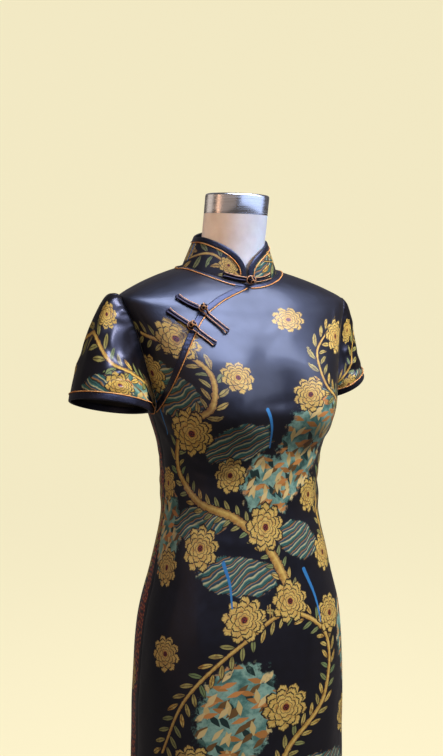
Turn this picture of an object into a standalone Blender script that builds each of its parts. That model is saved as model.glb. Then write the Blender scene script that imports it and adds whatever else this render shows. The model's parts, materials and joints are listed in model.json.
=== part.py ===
"""Cheongsam dress on a limbless dress form, one object for each cut and sewn piece.

Metres, +Z up. The dress faces -Y and its right side is towards -X. The origin is the middle of the
underside of the form's base. A place on the dress is given by a turn and a height: the turn goes
round from the centre front (0) over the right side seam (90 degrees) and the centre back (180), and
the height is that of the side seam on the same horizontal section.
"""

import math

import bpy
import numpy as np

# ------------------------------------------------------------------ driving sizes
CLOTH = 0.0012
COLLAR_WALL = 0.0018
SEAM_GAP = 0.0003
BINDING_WALL = 0.0008
BINDING_WIDTH = 0.009
COLLAR_BINDING_WIDTH = 0.0065
PIPING_RADIUS = 0.0009

HEM = 0.360
SLIT_TOP = 0.620
SLIT_GAP = 0.0045
NECKLINE = 1.420
CENTRE_BACK = math.pi
SIDE = math.pi / 2

# Horizontal sections of the worn dress, from hem to neck. Front and back are depths from the
# section's centre, which stands set_back behind the side-to-side axis; front_drop and back_rise tilt
# the section, as on a neckline.
SECTION_COLUMNS = (
    "height", "half_width", "front", "back", "squareness", "front_drop", "back_rise", "set_back",
)
SECTIONS = (
    (0.360, 0.182, 0.130, 0.130, 2.20, 0.000, 0.000, -0.006),
    (0.560, 0.180, 0.128, 0.128, 2.20, 0.000, 0.000, -0.006),
    (0.740, 0.177, 0.124, 0.126, 2.25, 0.000, 0.000, -0.008),
    (0.870, 0.168, 0.115, 0.120, 2.30, 0.000, 0.000, -0.010),
    (0.960, 0.147, 0.102, 0.100, 2.30, 0.000, 0.000, -0.010),
    (1.060, 0.130, 0.092, 0.086, 2.20, 0.000, 0.000, -0.010),
    (1.140, 0.134, 0.098, 0.088, 2.20, 0.000, 0.000, -0.008),
    (1.205, 0.150, 0.108, 0.095, 2.30, 0.002, 0.000, -0.004),
    (1.270, 0.168, 0.106, 0.102, 2.40, 0.006, 0.000, 0.000),
    (1.330, 0.184, 0.0905, 0.0975, 2.30, 0.014, 0.002, 0.0005),
    (1.374, 0.198, 0.0755, 0.0810, 2.20, 0.0245, 0.006, 0.0040),
    (1.382, 0.181, 0.0750, 0.0775, 2.40, 0.0262, 0.008, 0.0075),
    (1.390, 0.165, 0.0745, 0.0725, 2.50, 0.0275, 0.010, 0.0115),
    (1.407, 0.122, 0.0735, 0.0615, 2.50, 0.0285, 0.013, 0.0215),
    (1.420, 0.079, 0.0700, 0.0500, 2.00, 0.026, 0.015, 0.0300),
)
SECTION_COUNT = 266
SECTION_BLEND = 0.010

# The cups that the darts shape: place from the middle, bridging between them, height, depth and spread.
CUP_SIDEWAYS = 0.087
CUP_BRIDGE = 0.034
CUP_HEIGHT = 1.203
CUP_DEPTH = 0.034
CUP_SPREAD = 0.045
CUP_ABOVE = 0.062
CUP_BELOW = 0.040

# Soft folds of the cloth, as ridges: place, direction (0 runs level, 90 upright), size and depth.
FOLD_COLUMNS = ("turn", "height", "direction", "half_length", "half_width", "depth")
FOLDS = (
    (62.0, 1.178, 24.0, 0.030, 0.0075, 0.0022),
    (-60.0, 1.180, -30.0, 0.034, 0.0080, 0.0024),
    (70.0, 1.150, 38.0, 0.024, 0.0070, 0.0016),
    (58.0, 1.076, 8.0, 0.034, 0.0090, 0.0018),
    (-64.0, 1.060, -10.0, 0.036, 0.0085, 0.0020),
    (-48.0, 1.092, -14.0, 0.022, 0.0070, 0.0014),
    (124.0, 1.072, 6.0, 0.040, 0.0095, 0.0022),
    (-128.0, 1.058, -7.0, 0.042, 0.0090, 0.0024),
    (150.0, 1.100, 10.0, 0.028, 0.0080, 0.0016),
    (38.0, 0.560, 84.0, 0.150, 0.0220, 0.0045),
    (-30.0, 0.540, 95.0, 0.135, 0.0240, 0.0040),
    (148.0, 0.560, 88.0, 0.145, 0.0230, 0.0045),
    (-152.0, 0.550, 93.0, 0.130, 0.0210, 0.0040),
)

# Armholes: a rounded D between two heights, as wide as these turns in front of and behind the seam.
ARMHOLE_LOW = 1.200
ARMHOLE_HIGH = 1.374
ARMHOLE_FRONT = 0.235
ARMHOLE_BACK = 0.280
ARMHOLE_SQUARENESS = 3.0
ARMHOLE_STEPS = 12

# Rows and columns of the panels' grids. The rows below the armhole are level; those of the shoulders
# are shares of the way from the top of the armhole to the binding round the neck.
SKIRT_LEVELS = (HEM, 0.45, 0.54, SLIT_TOP, 0.70, 0.78, 0.86, 0.93, 1.00, 1.05, 1.09, 1.13, 1.16, 1.182)
SHOULDER_SHARES = (0.2, 0.42, 0.64, 0.82, 1.0)
FRONT_COLUMNS = 24
BACK_COLUMNS = 18
SHOULDER_COLUMNS = 7

# The column next to an armhole: how far inside it runs, and the heights where it swings over.
STEADY_MARGIN = math.radians(4)
STEADY_HEIGHTS = (1.09, 1.236, 1.345, 1.385)

# Sleeve openings: centre, outward lean and forward tilt of the sleeve's axis, half sizes.
CUFFS = {
    "right": {
        "centre": (-0.218, -0.0094, 1.2139),
        "lean": 0.226,
        "tilt": 0.181,
        "half_width": 0.0585,
        "half_depth": 0.0612,
    },
    "left": {
        "centre": (0.200, 0.0200, 1.2300),
        "lean": 0.500,
        "tilt": -0.047,
        "half_width": 0.0470,
        "half_depth": 0.0624,
    },
}
SIDE_SIGN = {"right": -1, "left": 1}
SLEEVE_HEAD_REACH = 0.45
SLEEVE_HEAD_FULLNESS = 0.18
SLEEVE_PUFF = {"right": 0.0085, "left": 0.0015}
SLEEVE_PUFF_AT = 0.12
SLEEVE_CUFF_REACH = 0.80
SLEEVE_ROWS = 8

# Folds of the sleeves: place round the sleeve (0 underarm, 90 front), share of its length, sizes.
SLEEVE_FOLD_COLUMNS = ("around", "along", "direction", "half_length", "half_width", "depth")
SLEEVE_FOLDS = (
    (84.0, 0.78, 12.0, 0.030, 0.0080, 0.0035),
    (62.0, 0.45, 60.0, 0.026, 0.0070, 0.0025),
    (128.0, 0.30, 72.0, 0.024, 0.0075, 0.0022),
    (262.0, 0.66, -14.0, 0.030, 0.0085, 0.0032),
    (300.0, 0.42, -55.0, 0.022, 0.0070, 0.0024),
)

# The side opening's piping line, from the centre front of the neck to the right armhole.
OPENING_COLUMNS = ("height", "turn")
OPENING = (
    (1.4140, 5.3), (1.4040, 14.5), (1.3900, 20.8), (1.3756, 23.8), (1.3471, 31.8), (1.3115, 40.5),
    (1.2767, 49.1), (1.2475, 58.0), (1.2207, 69.7), (1.2078, 78.0), (1.2010, 84.0),
)

OPENING_TIP = math.radians(0.5)
PIPING_END_TURN = math.radians(2)
NECK_STATIONS = 49
DIAGONAL_STATIONS = 22

# Stand collar: height, half sizes of its top edge, and the rounding of its front corners.
COLLAR_HEIGHT = 0.045
COLLAR_SEAM = 0.0004
COLLAR_TOP_SIDE = 0.0565
COLLAR_TOP_FRONT = 0.063
COLLAR_TOP_SET_BACK = 0.023
COLLAR_FRONT_EDGE = 0.012
COLLAR_ROUND = math.radians(40)
COLLAR_GAP = math.radians(2.5)
COLLAR_MIDDLE = math.radians(4)
COLLAR_COLUMNS = 53
CORNER_POWER = 2.2

# Knot-and-loop frogs: the surface they lie on, and the places of the knot's tail, the knot and the
# loop's tail. On the collar a height is a share of the collar's.
FROG_COLUMNS = ("name", "surface", "knot_tail", "knot", "loop_tail")
FROGS = (
    ("collar", "collar", (31.0, 0.125), (1.6, 0.115), (-30.0, 0.125)),
    ("upper", "body", (43.1, 1.3852), (28.5, 1.3715), (20.9, 1.3343)),
    ("lower", "body", (45.5, 1.3620), (36.9, 1.3385), (29.2, 1.3127)),
)
FROG_LIFT = 0.0022
BAR_HALF_WIDTH = 0.0034
BAR_THICK = 0.0026
CORD_RADIUS = 0.0013
CORD_SPACING = 0.0036
LOOP_RADIUS = 0.0048
BALL_RADIUS = 0.0052
STEM_RADIUS = 0.0013
STEM_BEND = 0.0030
KNOT_SIDES = 8

# Dress form: shaped like the dress, a little smaller, on a pole and a round base.
FORM_SIDES = 32
FORM_BOTTOM = 0.800
FORM_LEVELS = (
    0.815, 0.86, 0.91, 0.96, 1.01, 1.06, 1.11, 1.155, 1.19, 1.215, 1.245, 1.285, 1.33, 1.36, 1.374,
    1.384, 1.397, 1.409, NECKLINE,
)
FORM_CLEARANCE_COLUMNS = ("height", "clearance")
FORM_CLEARANCE = (
    (0.80, 0.0050), (1.06, 0.0060), (1.20, 0.0024), (1.33, 0.0018), (1.374, 0.0018), (1.42, 0.0030),
)
NECK_RADIUS = 0.0500
NECK_FOOT = (0.0, 0.030, 1.380)
NECK_LENGTH = 0.1555
NECK_LEAN = 0.196
CAP_HEIGHT = 0.031
CAP_LEAN = 0.080
POLE_RADIUS = 0.016
BASE_RADIUS = 0.180
BASE_HEIGHT = 0.018

# Plain stand-in finishes: linear colour, roughness and how metallic.
COLOURS = {
    "satin": ((0.016, 0.017, 0.032), 0.38, 0.0),
    "binding": ((0.012, 0.012, 0.016), 0.42, 0.0),
    "piping": ((0.640, 0.230, 0.090), 0.35, 0.0),
    "frog": ((0.014, 0.012, 0.014), 0.45, 0.0),
    "form": ((0.760, 0.660, 0.600), 0.55, 0.0),
    "steel": ((0.560, 0.560, 0.580), 0.28, 1.0),
}

# Steps over which a surface's slopes are measured, in turn and in height.
FIRST_STEP = 1e-3
SECOND_STEP = 2e-4


# ------------------------------------------------------------------ curves and surfaces
def column(table, names, name):
    return np.array([row[names.index(name)] for row in table], float)


def monotone_slopes(x, y):
    """Slopes at the knots of a smooth curve that never overshoots its points."""
    steps = np.diff(y) / np.diff(x)
    slopes = np.zeros_like(y)
    slopes[0], slopes[-1] = steps[0], steps[-1]
    widths = np.diff(x)
    for i in range(1, len(x) - 1):
        if steps[i - 1] * steps[i] > 0:
            before = 2 * widths[i] + widths[i - 1]
            after = widths[i] + 2 * widths[i - 1]
            slopes[i] = (before + after) / (before / steps[i - 1] + after / steps[i])
    return slopes


def curve_at(x, y, slopes, at):
    at = np.clip(at, x[0], x[-1])
    i = np.clip(np.searchsorted(x, at, side="right") - 1, 0, len(x) - 2)
    width = x[i + 1] - x[i]
    t = (at - x[i]) / width
    start = (2 * t**3 - 3 * t**2 + 1) * y[i] + (t**3 - 2 * t**2 + t) * width * slopes[i]
    end = (3 * t**2 - 2 * t**3) * y[i + 1] + (t**3 - t**2) * width * slopes[i + 1]
    return start + end


def smooth_curve(x, y, at):
    return curve_at(x, y, monotone_slopes(x, y), at)


def section_curves():
    """Each size at close heights, averaged over a short reach so that no row of the table shows."""
    rows = column(SECTIONS, SECTION_COLUMNS, "height")
    heights = np.linspace(HEM, NECKLINE, SECTION_COUNT)
    reach = np.minimum(SECTION_BLEND, np.minimum(heights - HEM, NECKLINE - heights))
    offsets = np.linspace(-1, 1, 11)
    weights = 1.1 - np.abs(offsets)
    curves = {}
    for name in SECTION_COLUMNS[1:]:
        sizes = column(SECTIONS, SECTION_COLUMNS, name)
        around = smooth_curve(rows, sizes, heights[:, None] + reach[:, None] * offsets)
        blended = around @ weights / weights.sum()
        curves[name] = (heights, blended, np.gradient(blended, heights))
    return curves


SECTION_CURVES = section_curves()


def section(name, height):
    return curve_at(*SECTION_CURVES[name], height)


def ridge(across, along, half_width, half_length, depth):
    return depth * np.exp(-0.5 * (across / half_width) ** 2 - 0.5 * (along / half_length) ** 2)


def plain_body(turn, height):
    """Points on the fitted shape, without folds."""
    turn, height = np.broadcast_arrays(np.asarray(turn, float), np.asarray(height, float))
    sideways, forward = -np.sin(turn), -np.cos(turn)
    power = section("squareness", height)
    reach = (np.abs(sideways) ** power + np.abs(forward) ** power) ** (-1 / power)
    depth = np.where(forward < 0, section("front", height), section("back", height))
    x = section("half_width", height) * sideways * reach
    y = depth * forward * reach + section("set_back", height)
    tilt = np.where(forward < 0, -section("front_drop", height), section("back_rise", height))
    z = height + tilt * forward**2
    spread = np.where(z > CUP_HEIGHT, CUP_ABOVE, CUP_BELOW)
    from_cup = np.hypot(x, CUP_BRIDGE) - CUP_SIDEWAYS
    cup = np.exp(-0.5 * (from_cup / CUP_SPREAD) ** 2 - 0.5 * ((z - CUP_HEIGHT) / spread) ** 2)
    y = y - np.clip(-1.6 * forward, 0, 1) * CUP_DEPTH * cup
    return np.stack([x, y, z], -1)


def turn_difference(turn, centre):
    return (turn - centre + math.pi) % (2 * math.pi) - math.pi


def body(turn, height):
    """Points on the outer face of the dress."""
    points = plain_body(turn, height)
    reach = np.hypot(points[..., 0], points[..., 1])
    raised = np.zeros(reach.shape)
    for place, level, direction, half_length, half_width, depth in FOLDS:
        level_way = turn_difference(turn, math.radians(place)) * reach
        up_way = height - level
        angle = math.radians(direction)
        along = level_way * math.cos(angle) + up_way * math.sin(angle)
        across = up_way * math.cos(angle) - level_way * math.sin(angle)
        raised = raised + ridge(across, along, half_width, half_length, depth)
    points[..., 0] += raised * points[..., 0] / reach
    points[..., 1] += raised * points[..., 1] / reach
    return points


def collar_surface(turn, share):
    """Outer face of the stand collar: share 0 is its seam, 1 the height of its top edge."""
    turn, share = np.broadcast_arrays(np.asarray(turn, float), np.asarray(share, float))
    foot = plain_body(turn, NECKLINE)
    top = np.stack([
        -COLLAR_TOP_SIDE * np.sin(turn),
        -COLLAR_TOP_FRONT * np.cos(turn) + COLLAR_TOP_SET_BACK,
        foot[..., 2] + COLLAR_HEIGHT,
    ], -1)
    return foot + (top - foot) * share[..., None]


def cuff_ring(side, around):
    """Points of a sleeve's open edge and the direction in which the sleeve points there."""
    cuff, sign = CUFFS[side], SIDE_SIGN[side]
    axis = np.array([sign * math.sin(cuff["lean"]), -cuff["tilt"], -math.cos(cuff["lean"])])
    axis = axis / np.linalg.norm(axis)
    outward = np.cross([0.0, -sign, 0.0], axis)
    outward = outward / np.linalg.norm(outward)
    forward = np.cross(axis, outward) * sign
    forward = forward * -np.sign(forward[1])
    points = (
        np.array(cuff["centre"])
        - np.cos(around)[..., None] * cuff["half_width"] * outward
        + np.sin(around)[..., None] * cuff["half_depth"] * forward
    )
    return points, axis


def armhole_levels():
    """Heights up the armhole, spaced evenly along its edge."""
    share = np.linspace(-1, 1, 801)
    width = armhole_width(share)
    height = (ARMHOLE_LOW + ARMHOLE_HIGH) / 2 + share * (ARMHOLE_HIGH - ARMHOLE_LOW) / 2
    reach = section("half_width", height)
    steps = np.hypot(np.diff(height), np.diff(width) * reach[1:] * ARMHOLE_FRONT)
    length = np.concatenate([[0], np.cumsum(steps)])
    even = np.linspace(0, length[-1], ARMHOLE_STEPS + 1)
    return np.interp(even, length, height)


def armhole_width(share):
    """Width of the armhole, as a share of its most, at a height from -1 (bottom) to 1 (top)."""
    return np.clip(1 - np.abs(share) ** ARMHOLE_SQUARENESS, 0, 1) ** (1 / ARMHOLE_SQUARENESS)


def armhole_turn(height, widest):
    """How far in turn the armhole's edge lies from the side seam."""
    share = (2 * height - ARMHOLE_LOW - ARMHOLE_HIGH) / (ARMHOLE_HIGH - ARMHOLE_LOW)
    return widest * armhole_width(np.clip(share, -1, 1))


LEVELS = armhole_levels()


def armhole_ring(side, around):
    """Points of the armhole edge, where around goes from the underarm over the front and the top."""
    around = np.asarray(around, float) % (2 * math.pi)
    behind = around > math.pi
    climb = np.where(behind, 2 * math.pi - around, around) / math.pi
    height = np.interp(climb, np.linspace(0, 1, len(LEVELS)), LEVELS)
    front = SIDE - armhole_turn(height, ARMHOLE_FRONT)
    back = SIDE + armhole_turn(height, ARMHOLE_BACK)
    turn = np.where(behind, back, front)
    return plain_body(-SIDE_SIGN[side] * turn, height)


def sleeve_surface(side):
    """Surface function of a sleeve: around the arm, and along it from armhole (0) to cuff (1)."""
    sign = SIDE_SIGN[side]

    def surface(around, along):
        around, along = np.broadcast_arrays(np.asarray(around, float), np.asarray(along, float))
        start = armhole_ring(side, around)
        end, axis = cuff_ring(side, around)
        top = (1 - np.cos(around)) / 2
        leave = np.stack([np.full(top.shape, float(sign)), np.zeros(top.shape), -0.15 * top], -1)
        leave = leave / np.linalg.norm(leave, axis=-1, keepdims=True)
        chord = np.linalg.norm(end - start, axis=-1, keepdims=True)
        underarm = ((1 - top) ** 4)[..., None]
        arrive = axis * (1 - underarm) + (end - start) / chord * underarm
        t = along[..., None]
        reach = SLEEVE_HEAD_REACH + SLEEVE_HEAD_FULLNESS * top[..., None] ** 3
        past_peak = t / SLEEVE_PUFF_AT
        puff = SLEEVE_PUFF[side] * top[..., None] ** 4 * past_peak * np.exp(1 - past_peak)
        points = (
            puff * np.array([0.75 * sign, 0, 0.66])
            + (2 * t**3 - 3 * t**2 + 1) * start
            + (t**3 - 2 * t**2 + t) * leave * chord * reach
            + (3 * t**2 - 2 * t**3) * end
            + (t**3 - t**2) * arrive * chord * SLEEVE_CUFF_REACH
        )
        middle = start.reshape(-1, 3).mean(0) * (1 - t) + np.array(CUFFS[side]["centre"]) * t
        outward = points - middle
        outward = outward / np.linalg.norm(outward, axis=-1, keepdims=True)
        raised = np.zeros(around.shape)
        for place, level, direction, half_length, half_width, depth in SLEEVE_FOLDS:
            round_way = turn_difference(around, math.radians(place)) * CUFFS[side]["half_depth"]
            down_way = (along - level) * chord[..., 0]
            angle = math.radians(direction)
            fold_along = round_way * math.cos(angle) + down_way * math.sin(angle)
            fold_across = down_way * math.cos(angle) - round_way * math.sin(angle)
            raised = raised + ridge(fold_across, fold_along, half_width, half_length, depth)
        fade = np.clip(4 * along, 0, 1) * np.clip(5 * (1 - along), 0, 1)
        return points + outward * (raised * fade)[..., None]

    surface.facing = sign
    return surface


def tangents(surface, first, second):
    """The surface's rates of change along its two coordinates."""
    first, second = np.broadcast_arrays(np.asarray(first, float), np.asarray(second, float))
    before, after = surface(first - FIRST_STEP, second), surface(first + FIRST_STEP, second)
    lower, here = surface(first, second - SECOND_STEP), surface(first, second)
    return (after - before) / (2 * FIRST_STEP), (here - lower) / SECOND_STEP


def outward_normal(surface, first, second):
    along_first, along_second = tangents(surface, first, second)
    normal = np.cross(along_second, along_first) * getattr(surface, "facing", 1)
    return normal / np.linalg.norm(normal, axis=-1, keepdims=True)


def lifted(surface, first, second, lift):
    """Points this far outside the surface, or inside it where lift is negative."""
    normal = outward_normal(surface, first, second)
    return surface(first, second) + normal * np.asarray(lift, float)[..., None]


def directions_along(points, closed=False):
    if closed:
        difference = np.roll(points, -1, axis=0) - np.roll(points, 1, axis=0)
    else:
        difference = np.gradient(points, axis=0)
    return difference / np.linalg.norm(difference, axis=-1, keepdims=True)


def moved_across(surface, first, second, distance, closed=False, steps=3):
    """Moves a line sideways over the surface, to the left of its travel seen from outside."""
    for _ in range(steps):
        along_first, along_second = tangents(surface, first, second)
        travel = directions_along(surface(first, second), closed)
        normal = outward_normal(surface, first, second)
        step = np.cross(normal, travel) * distance / steps
        system = np.stack([along_first, along_second], -1)
        change = np.einsum("...ij,...j->...i", np.linalg.pinv(system), step)
        first = first + change[..., 0]
        second = second + change[..., 1]
    return first, second


def evenly_spaced(surface, first, second, count):
    """The same line with this many points, equally far apart."""
    points = surface(first, second)
    length = np.concatenate([[0], np.cumsum(np.linalg.norm(np.diff(points, axis=0), axis=1))])
    even = np.linspace(0, length[-1], count)
    return np.interp(even, length, first), np.interp(even, length, second)


# ------------------------------------------------------------------ Blender objects
def material(name, finish):
    colour, roughness, metallic = COLOURS[finish]
    made = bpy.data.materials.new(name)
    made.use_nodes = True
    shader = made.node_tree.nodes["Principled BSDF"]
    shader.inputs["Base Color"].default_value = (*colour, 1)
    shader.inputs["Roughness"].default_value = roughness
    shader.inputs["Metallic"].default_value = metallic
    return made


def add_object(name, points, faces, finish, smooth_angle=50):
    mesh = bpy.data.meshes.new(name)
    mesh.from_pydata([tuple(map(float, point)) for point in points], [], faces)
    mesh.validate()
    if signed_volume(mesh) < 0:
        mesh.flip_normals()
    mesh.materials.append(material(name + "_finish", finish))
    mesh.shade_smooth()
    mesh.set_sharp_from_angle(angle=math.radians(smooth_angle))
    made = bpy.data.objects.new(name, mesh)
    bpy.context.scene.collection.objects.link(made)
    return made


def signed_volume(mesh):
    mesh.calc_loop_triangles()
    volume = 0.0
    for triangle in mesh.loop_triangles:
        a, b, c = (mesh.vertices[i].co for i in triangle.vertices)
        volume += a.dot(b.cross(c)) / 6
    return volume


def wall(name, outer, inner, finish, closed=False, mirrored_rows=()):
    """A sheet of cloth between two matching grids, joined up round the columns where closed.

    Every cell is cut along the same diagonal, or the other one in a mirrored row, so that a piece
    laid on another one bends where that one does.
    """
    rows, columns = outer.shape[:2]
    points = np.concatenate([outer.reshape(-1, 3), inner.reshape(-1, 3)])

    def corner(layer, row, number):
        return (layer * rows + row) * columns + number % columns

    def rim(first, second):
        return corner(0, *first), corner(0, *second), corner(1, *second), corner(1, *first)

    faces = []
    last_row, last_column = rows - 1, columns - 1
    for number in range(columns if closed else last_column):
        for row in range(last_row):
            a, b, c, d = (row, number), (row, number + 1), (row + 1, number + 1), (row + 1, number)
            cells = ((a, b, d), (b, c, d)) if row in mirrored_rows else ((a, b, c), (a, c, d))
            for cell in cells:
                faces.append(tuple(corner(0, *place) for place in cell))
                faces.append(tuple(corner(1, *place) for place in reversed(cell)))
        faces.append(rim((0, number + 1), (0, number)))
        faces.append(rim((last_row, number), (last_row, number + 1)))
    if not closed:
        for row in range(last_row):
            faces.append(rim((row, 0), (row + 1, 0)))
            faces.append(rim((row + 1, last_column), (row, last_column)))
    return add_object(name, points, faces, finish)


def loft(name, rings, finish, closed=False):
    """A solid through rings of points, with flat ends unless it closes on itself."""
    rings = np.asarray(rings)
    count, around = rings.shape[:2]
    faces = []
    for ring in range(count if closed else count - 1):
        here, after = ring * around, (ring + 1) % count * around
        for number in range(around):
            beside = (number + 1) % around
            faces.append((here + number, here + beside, after + beside, after + number))
    if not closed:
        faces.append(tuple(range(around))[::-1])
        faces.append(tuple((count - 1) * around + number for number in range(around)))
    return add_object(name, rings.reshape(-1, 3), faces, finish)


def surface_wall(name, surface, first, second, lift, thickness, finish, closed=False):
    """A wall whose outer face is lifted this far from the surface."""
    outer = lifted(surface, first, second, lift)
    inner = lifted(surface, first, second, lift - thickness)
    return wall(name, outer, inner, finish, closed)


def strip(name, surface, one_edge, other_edge, columns, finish, closed=False):
    """A binding laid on the surface between two lines that have the same number of points."""
    share = np.linspace(0, 1, columns)[:, None]
    first = one_edge[0] * (1 - share) + other_edge[0] * share
    second = one_edge[1] * (1 - share) + other_edge[1] * share
    lift = SEAM_GAP + BINDING_WALL
    return surface_wall(name, surface, first, second, lift, BINDING_WALL, finish, closed)


def cord_rings(centres, normals, radius, sides, closed=False):
    """Rings of points round a line, turned to face along it."""
    travel = directions_along(centres, closed)
    sideways = np.cross(normals, travel)
    sideways = sideways / np.linalg.norm(sideways, axis=-1, keepdims=True)
    upward = np.cross(travel, sideways)
    angles = 2 * math.pi * (np.arange(sides) + 0.5) / sides
    return (
        centres[:, None]
        + radius * np.cos(angles)[None, :, None] * sideways[:, None]
        + radius * np.sin(angles)[None, :, None] * upward[:, None]
    )


def piping(name, surface, line, closed=False):
    """A thin covered cord that lies on the surface along a line."""
    centres = lifted(surface, line[0], line[1], SEAM_GAP + PIPING_RADIUS)
    normals = outward_normal(surface, line[0], line[1])
    return loft(name, cord_rings(centres, normals, PIPING_RADIUS, 4, closed), "piping", closed)


# ------------------------------------------------------------------ dress panels
def opening_lines():
    """The piping line and the opening's edge above it, from the armhole up to the neck."""
    heights = column(OPENING, OPENING_COLUMNS, "height")[::-1]
    turns = np.radians(column(OPENING, OPENING_COLUMNS, "turn"))[::-1]
    along = np.linspace(0, 1, 49)
    knots = np.linspace(0, 1, len(heights))
    line = (smooth_curve(knots, turns, along), smooth_curve(knots, heights, along))
    return line, moved_across(plain_body, *line, BINDING_WIDTH)


PIPING_LINE, OPENING_EDGE = opening_lines()


def gap_turn(height, gap=SEAM_GAP / 2):
    """The turn that a gap takes up at the side of the section at this height."""
    return gap / section("front", height)


def side_allowance(height):
    """Turn kept free at each side seam, which opens into a slit below SLIT_TOP."""
    open_share = np.clip((SLIT_TOP - height) / (SLIT_TOP - HEM), 0, 1)
    return gap_turn(height, SEAM_GAP / 2 + SLIT_GAP * open_share**1.5)


def side_edge(height, widest):
    """Turn from the centre of the front or back to the panel's side edge."""
    return SIDE - armhole_turn(height, widest) - side_allowance(height)


def opening_turn(height):
    """Turn of the opening's edge, which runs out in a narrow tip at the armhole."""
    edge = np.interp(height, OPENING_EDGE[1], OPENING_EDGE[0])
    return np.minimum(edge, side_edge(height, ARMHOLE_FRONT) - OPENING_TIP)


LEVELS_BELOW_SHOULDER = np.concatenate([SKIRT_LEVELS, LEVELS])
OPENING_LOW = LEVELS[1] - 1e-5


def neck_edge_height(turn):
    """Height at which the binding round the neck ends, at this turn."""
    turns = np.linspace(0, 2 * math.pi, 121)
    line = moved_across(plain_body, turns, np.full(turns.shape, NECKLINE), BINDING_WIDTH, steps=4)
    return np.interp(np.mod(turn, 2 * math.pi), line[0], line[1], period=2 * math.pi)


def panel_grid(right_edges, left_edges, columns, lowest=0.0):
    """Turns and heights of a panel's grid: level rows, then rows that close up on the neckline.

    Columns go from the wearer's right to left seen from the front. right_edges and left_edges are
    functions that give the turns of the outer columns at a height; the others lie evenly between.
    """
    edges = right_edges + left_edges
    inner = np.linspace(0, 1, columns + 2 - len(edges))

    def row_between(height_of):
        turns = [edge(NECKLINE) for edge in edges]
        for _ in range(6):
            turns = [edge(height_of(turn)) for edge, turn in zip(edges, turns)]
        before, after = turns[:len(right_edges) - 1], turns[len(right_edges) + 1:]
        start, end = turns[len(right_edges) - 1], turns[len(right_edges)]
        row = np.concatenate([before, start + (end - start) * inner, after])
        return row, height_of(row)

    def level_row(level):
        return row_between(lambda turn: np.full(np.shape(turn), level))

    def shoulder_row(share):
        return row_between(lambda turn: ARMHOLE_HIGH + share * (neck_edge_height(turn) - ARMHOLE_HIGH))

    rows = [level_row(level) for level in LEVELS_BELOW_SHOULDER if level > lowest]
    rows += [shoulder_row(share) for share in SHOULDER_SHARES]
    rows.append(level_row(NECKLINE))
    return np.array([row[0] for row in rows]), np.array([row[1] for row in rows])


def steady_edge(height, widest):
    """A line just inside an armhole that swings over gently, for the column next to the edge."""
    inside = SIDE - widest - STEADY_MARGIN
    outside = SIDE - STEADY_MARGIN
    return np.interp(height, STEADY_HEIGHTS, (outside, inside, inside, outside))


def piping_turn(height):
    return np.interp(height, PIPING_LINE[1], PIPING_LINE[0])


def front_right_edge(height):
    opening = opening_turn(height) - gap_turn(height)
    return np.where(height < OPENING_LOW, side_edge(height, ARMHOLE_FRONT), opening)


PANELS = {
    "front_panel": panel_grid(
        (front_right_edge, piping_turn),
        (lambda height: -steady_edge(height, ARMHOLE_FRONT),
         lambda height: -side_edge(height, ARMHOLE_FRONT)),
        FRONT_COLUMNS,
    ),
    "back_panel": panel_grid(
        (lambda height: CENTRE_BACK + side_edge(height, ARMHOLE_BACK),
         lambda height: CENTRE_BACK + steady_edge(height, ARMHOLE_BACK)),
        (lambda height: CENTRE_BACK - steady_edge(height, ARMHOLE_BACK),
         lambda height: CENTRE_BACK - side_edge(height, ARMHOLE_BACK)),
        BACK_COLUMNS,
    ),
    "front_shoulder_right": panel_grid(
        (lambda height: side_edge(height, ARMHOLE_FRONT),),
        (lambda height: opening_turn(height) + gap_turn(height),),
        SHOULDER_COLUMNS,
        OPENING_LOW,
    ),
}


def make_panels():
    for name, (turns, heights) in PANELS.items():
        surface_wall(name, body, turns, heights, 0, CLOTH, "satin")


def sleeve_grid(side):
    """Places round and along a sleeve; the last two rows are the cuff binding's edges."""
    around = np.linspace(0, 2 * math.pi, 2 * ARMHOLE_STEPS, endpoint=False)
    length = np.linalg.norm(cuff_ring(side, around)[0] - armhole_ring(side, around), axis=-1)
    start = 1.5 * SEAM_GAP / (length * SLEEVE_HEAD_REACH)
    cuff = 1 - BINDING_WIDTH / length
    share = np.linspace(0, 1, SLEEVE_ROWS - 1)[:, None] ** 1.4
    along = np.concatenate([start + (cuff - start) * share, np.ones((1, len(around)))])
    return np.repeat(around[None, :], SLEEVE_ROWS, axis=0), along


def make_sleeve(side):
    surface = sleeve_surface(side)
    around, along = sleeve_grid(side)
    surface_wall("sleeve_" + side, surface, around, along, 0, CLOTH, "satin", closed=True)
    points, normals = surface(around, along), outward_normal(surface, around, along)
    folded_over("binding_cuff_" + side, points[-2:], normals[-2:])
    up_the_sleeve = points[-3] - points[-2]
    up_the_sleeve = up_the_sleeve / np.linalg.norm(up_the_sleeve, axis=-1, keepdims=True)
    centres = points[-2] + (up_the_sleeve + normals[-2]) * (3.4 * SEAM_GAP + PIPING_RADIUS)
    rings = cord_rings(centres, normals[-2], PIPING_RADIUS, 4, closed=True)
    loft("piping_cuff_" + side, rings, "piping", closed=True)


def folded_over(name, points, normals):
    """A closed binding folded over an edge: it has a line of points inside the edge, and the edge."""
    beyond = points[1] - points[0]
    beyond = beyond / np.linalg.norm(beyond, axis=-1, keepdims=True)

    def layer(reach):
        return np.array([
            points[0] + normals[0] * reach,
            points[1] + (normals[1] + beyond) * reach,
            points[1] - normals[1] * (CLOTH + reach) + beyond * reach,
            points[0] - normals[0] * (CLOTH + reach),
        ])

    wall(name, layer(SEAM_GAP + BINDING_WALL), layer(SEAM_GAP), "binding", True, mirrored_rows=(2,))


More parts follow.
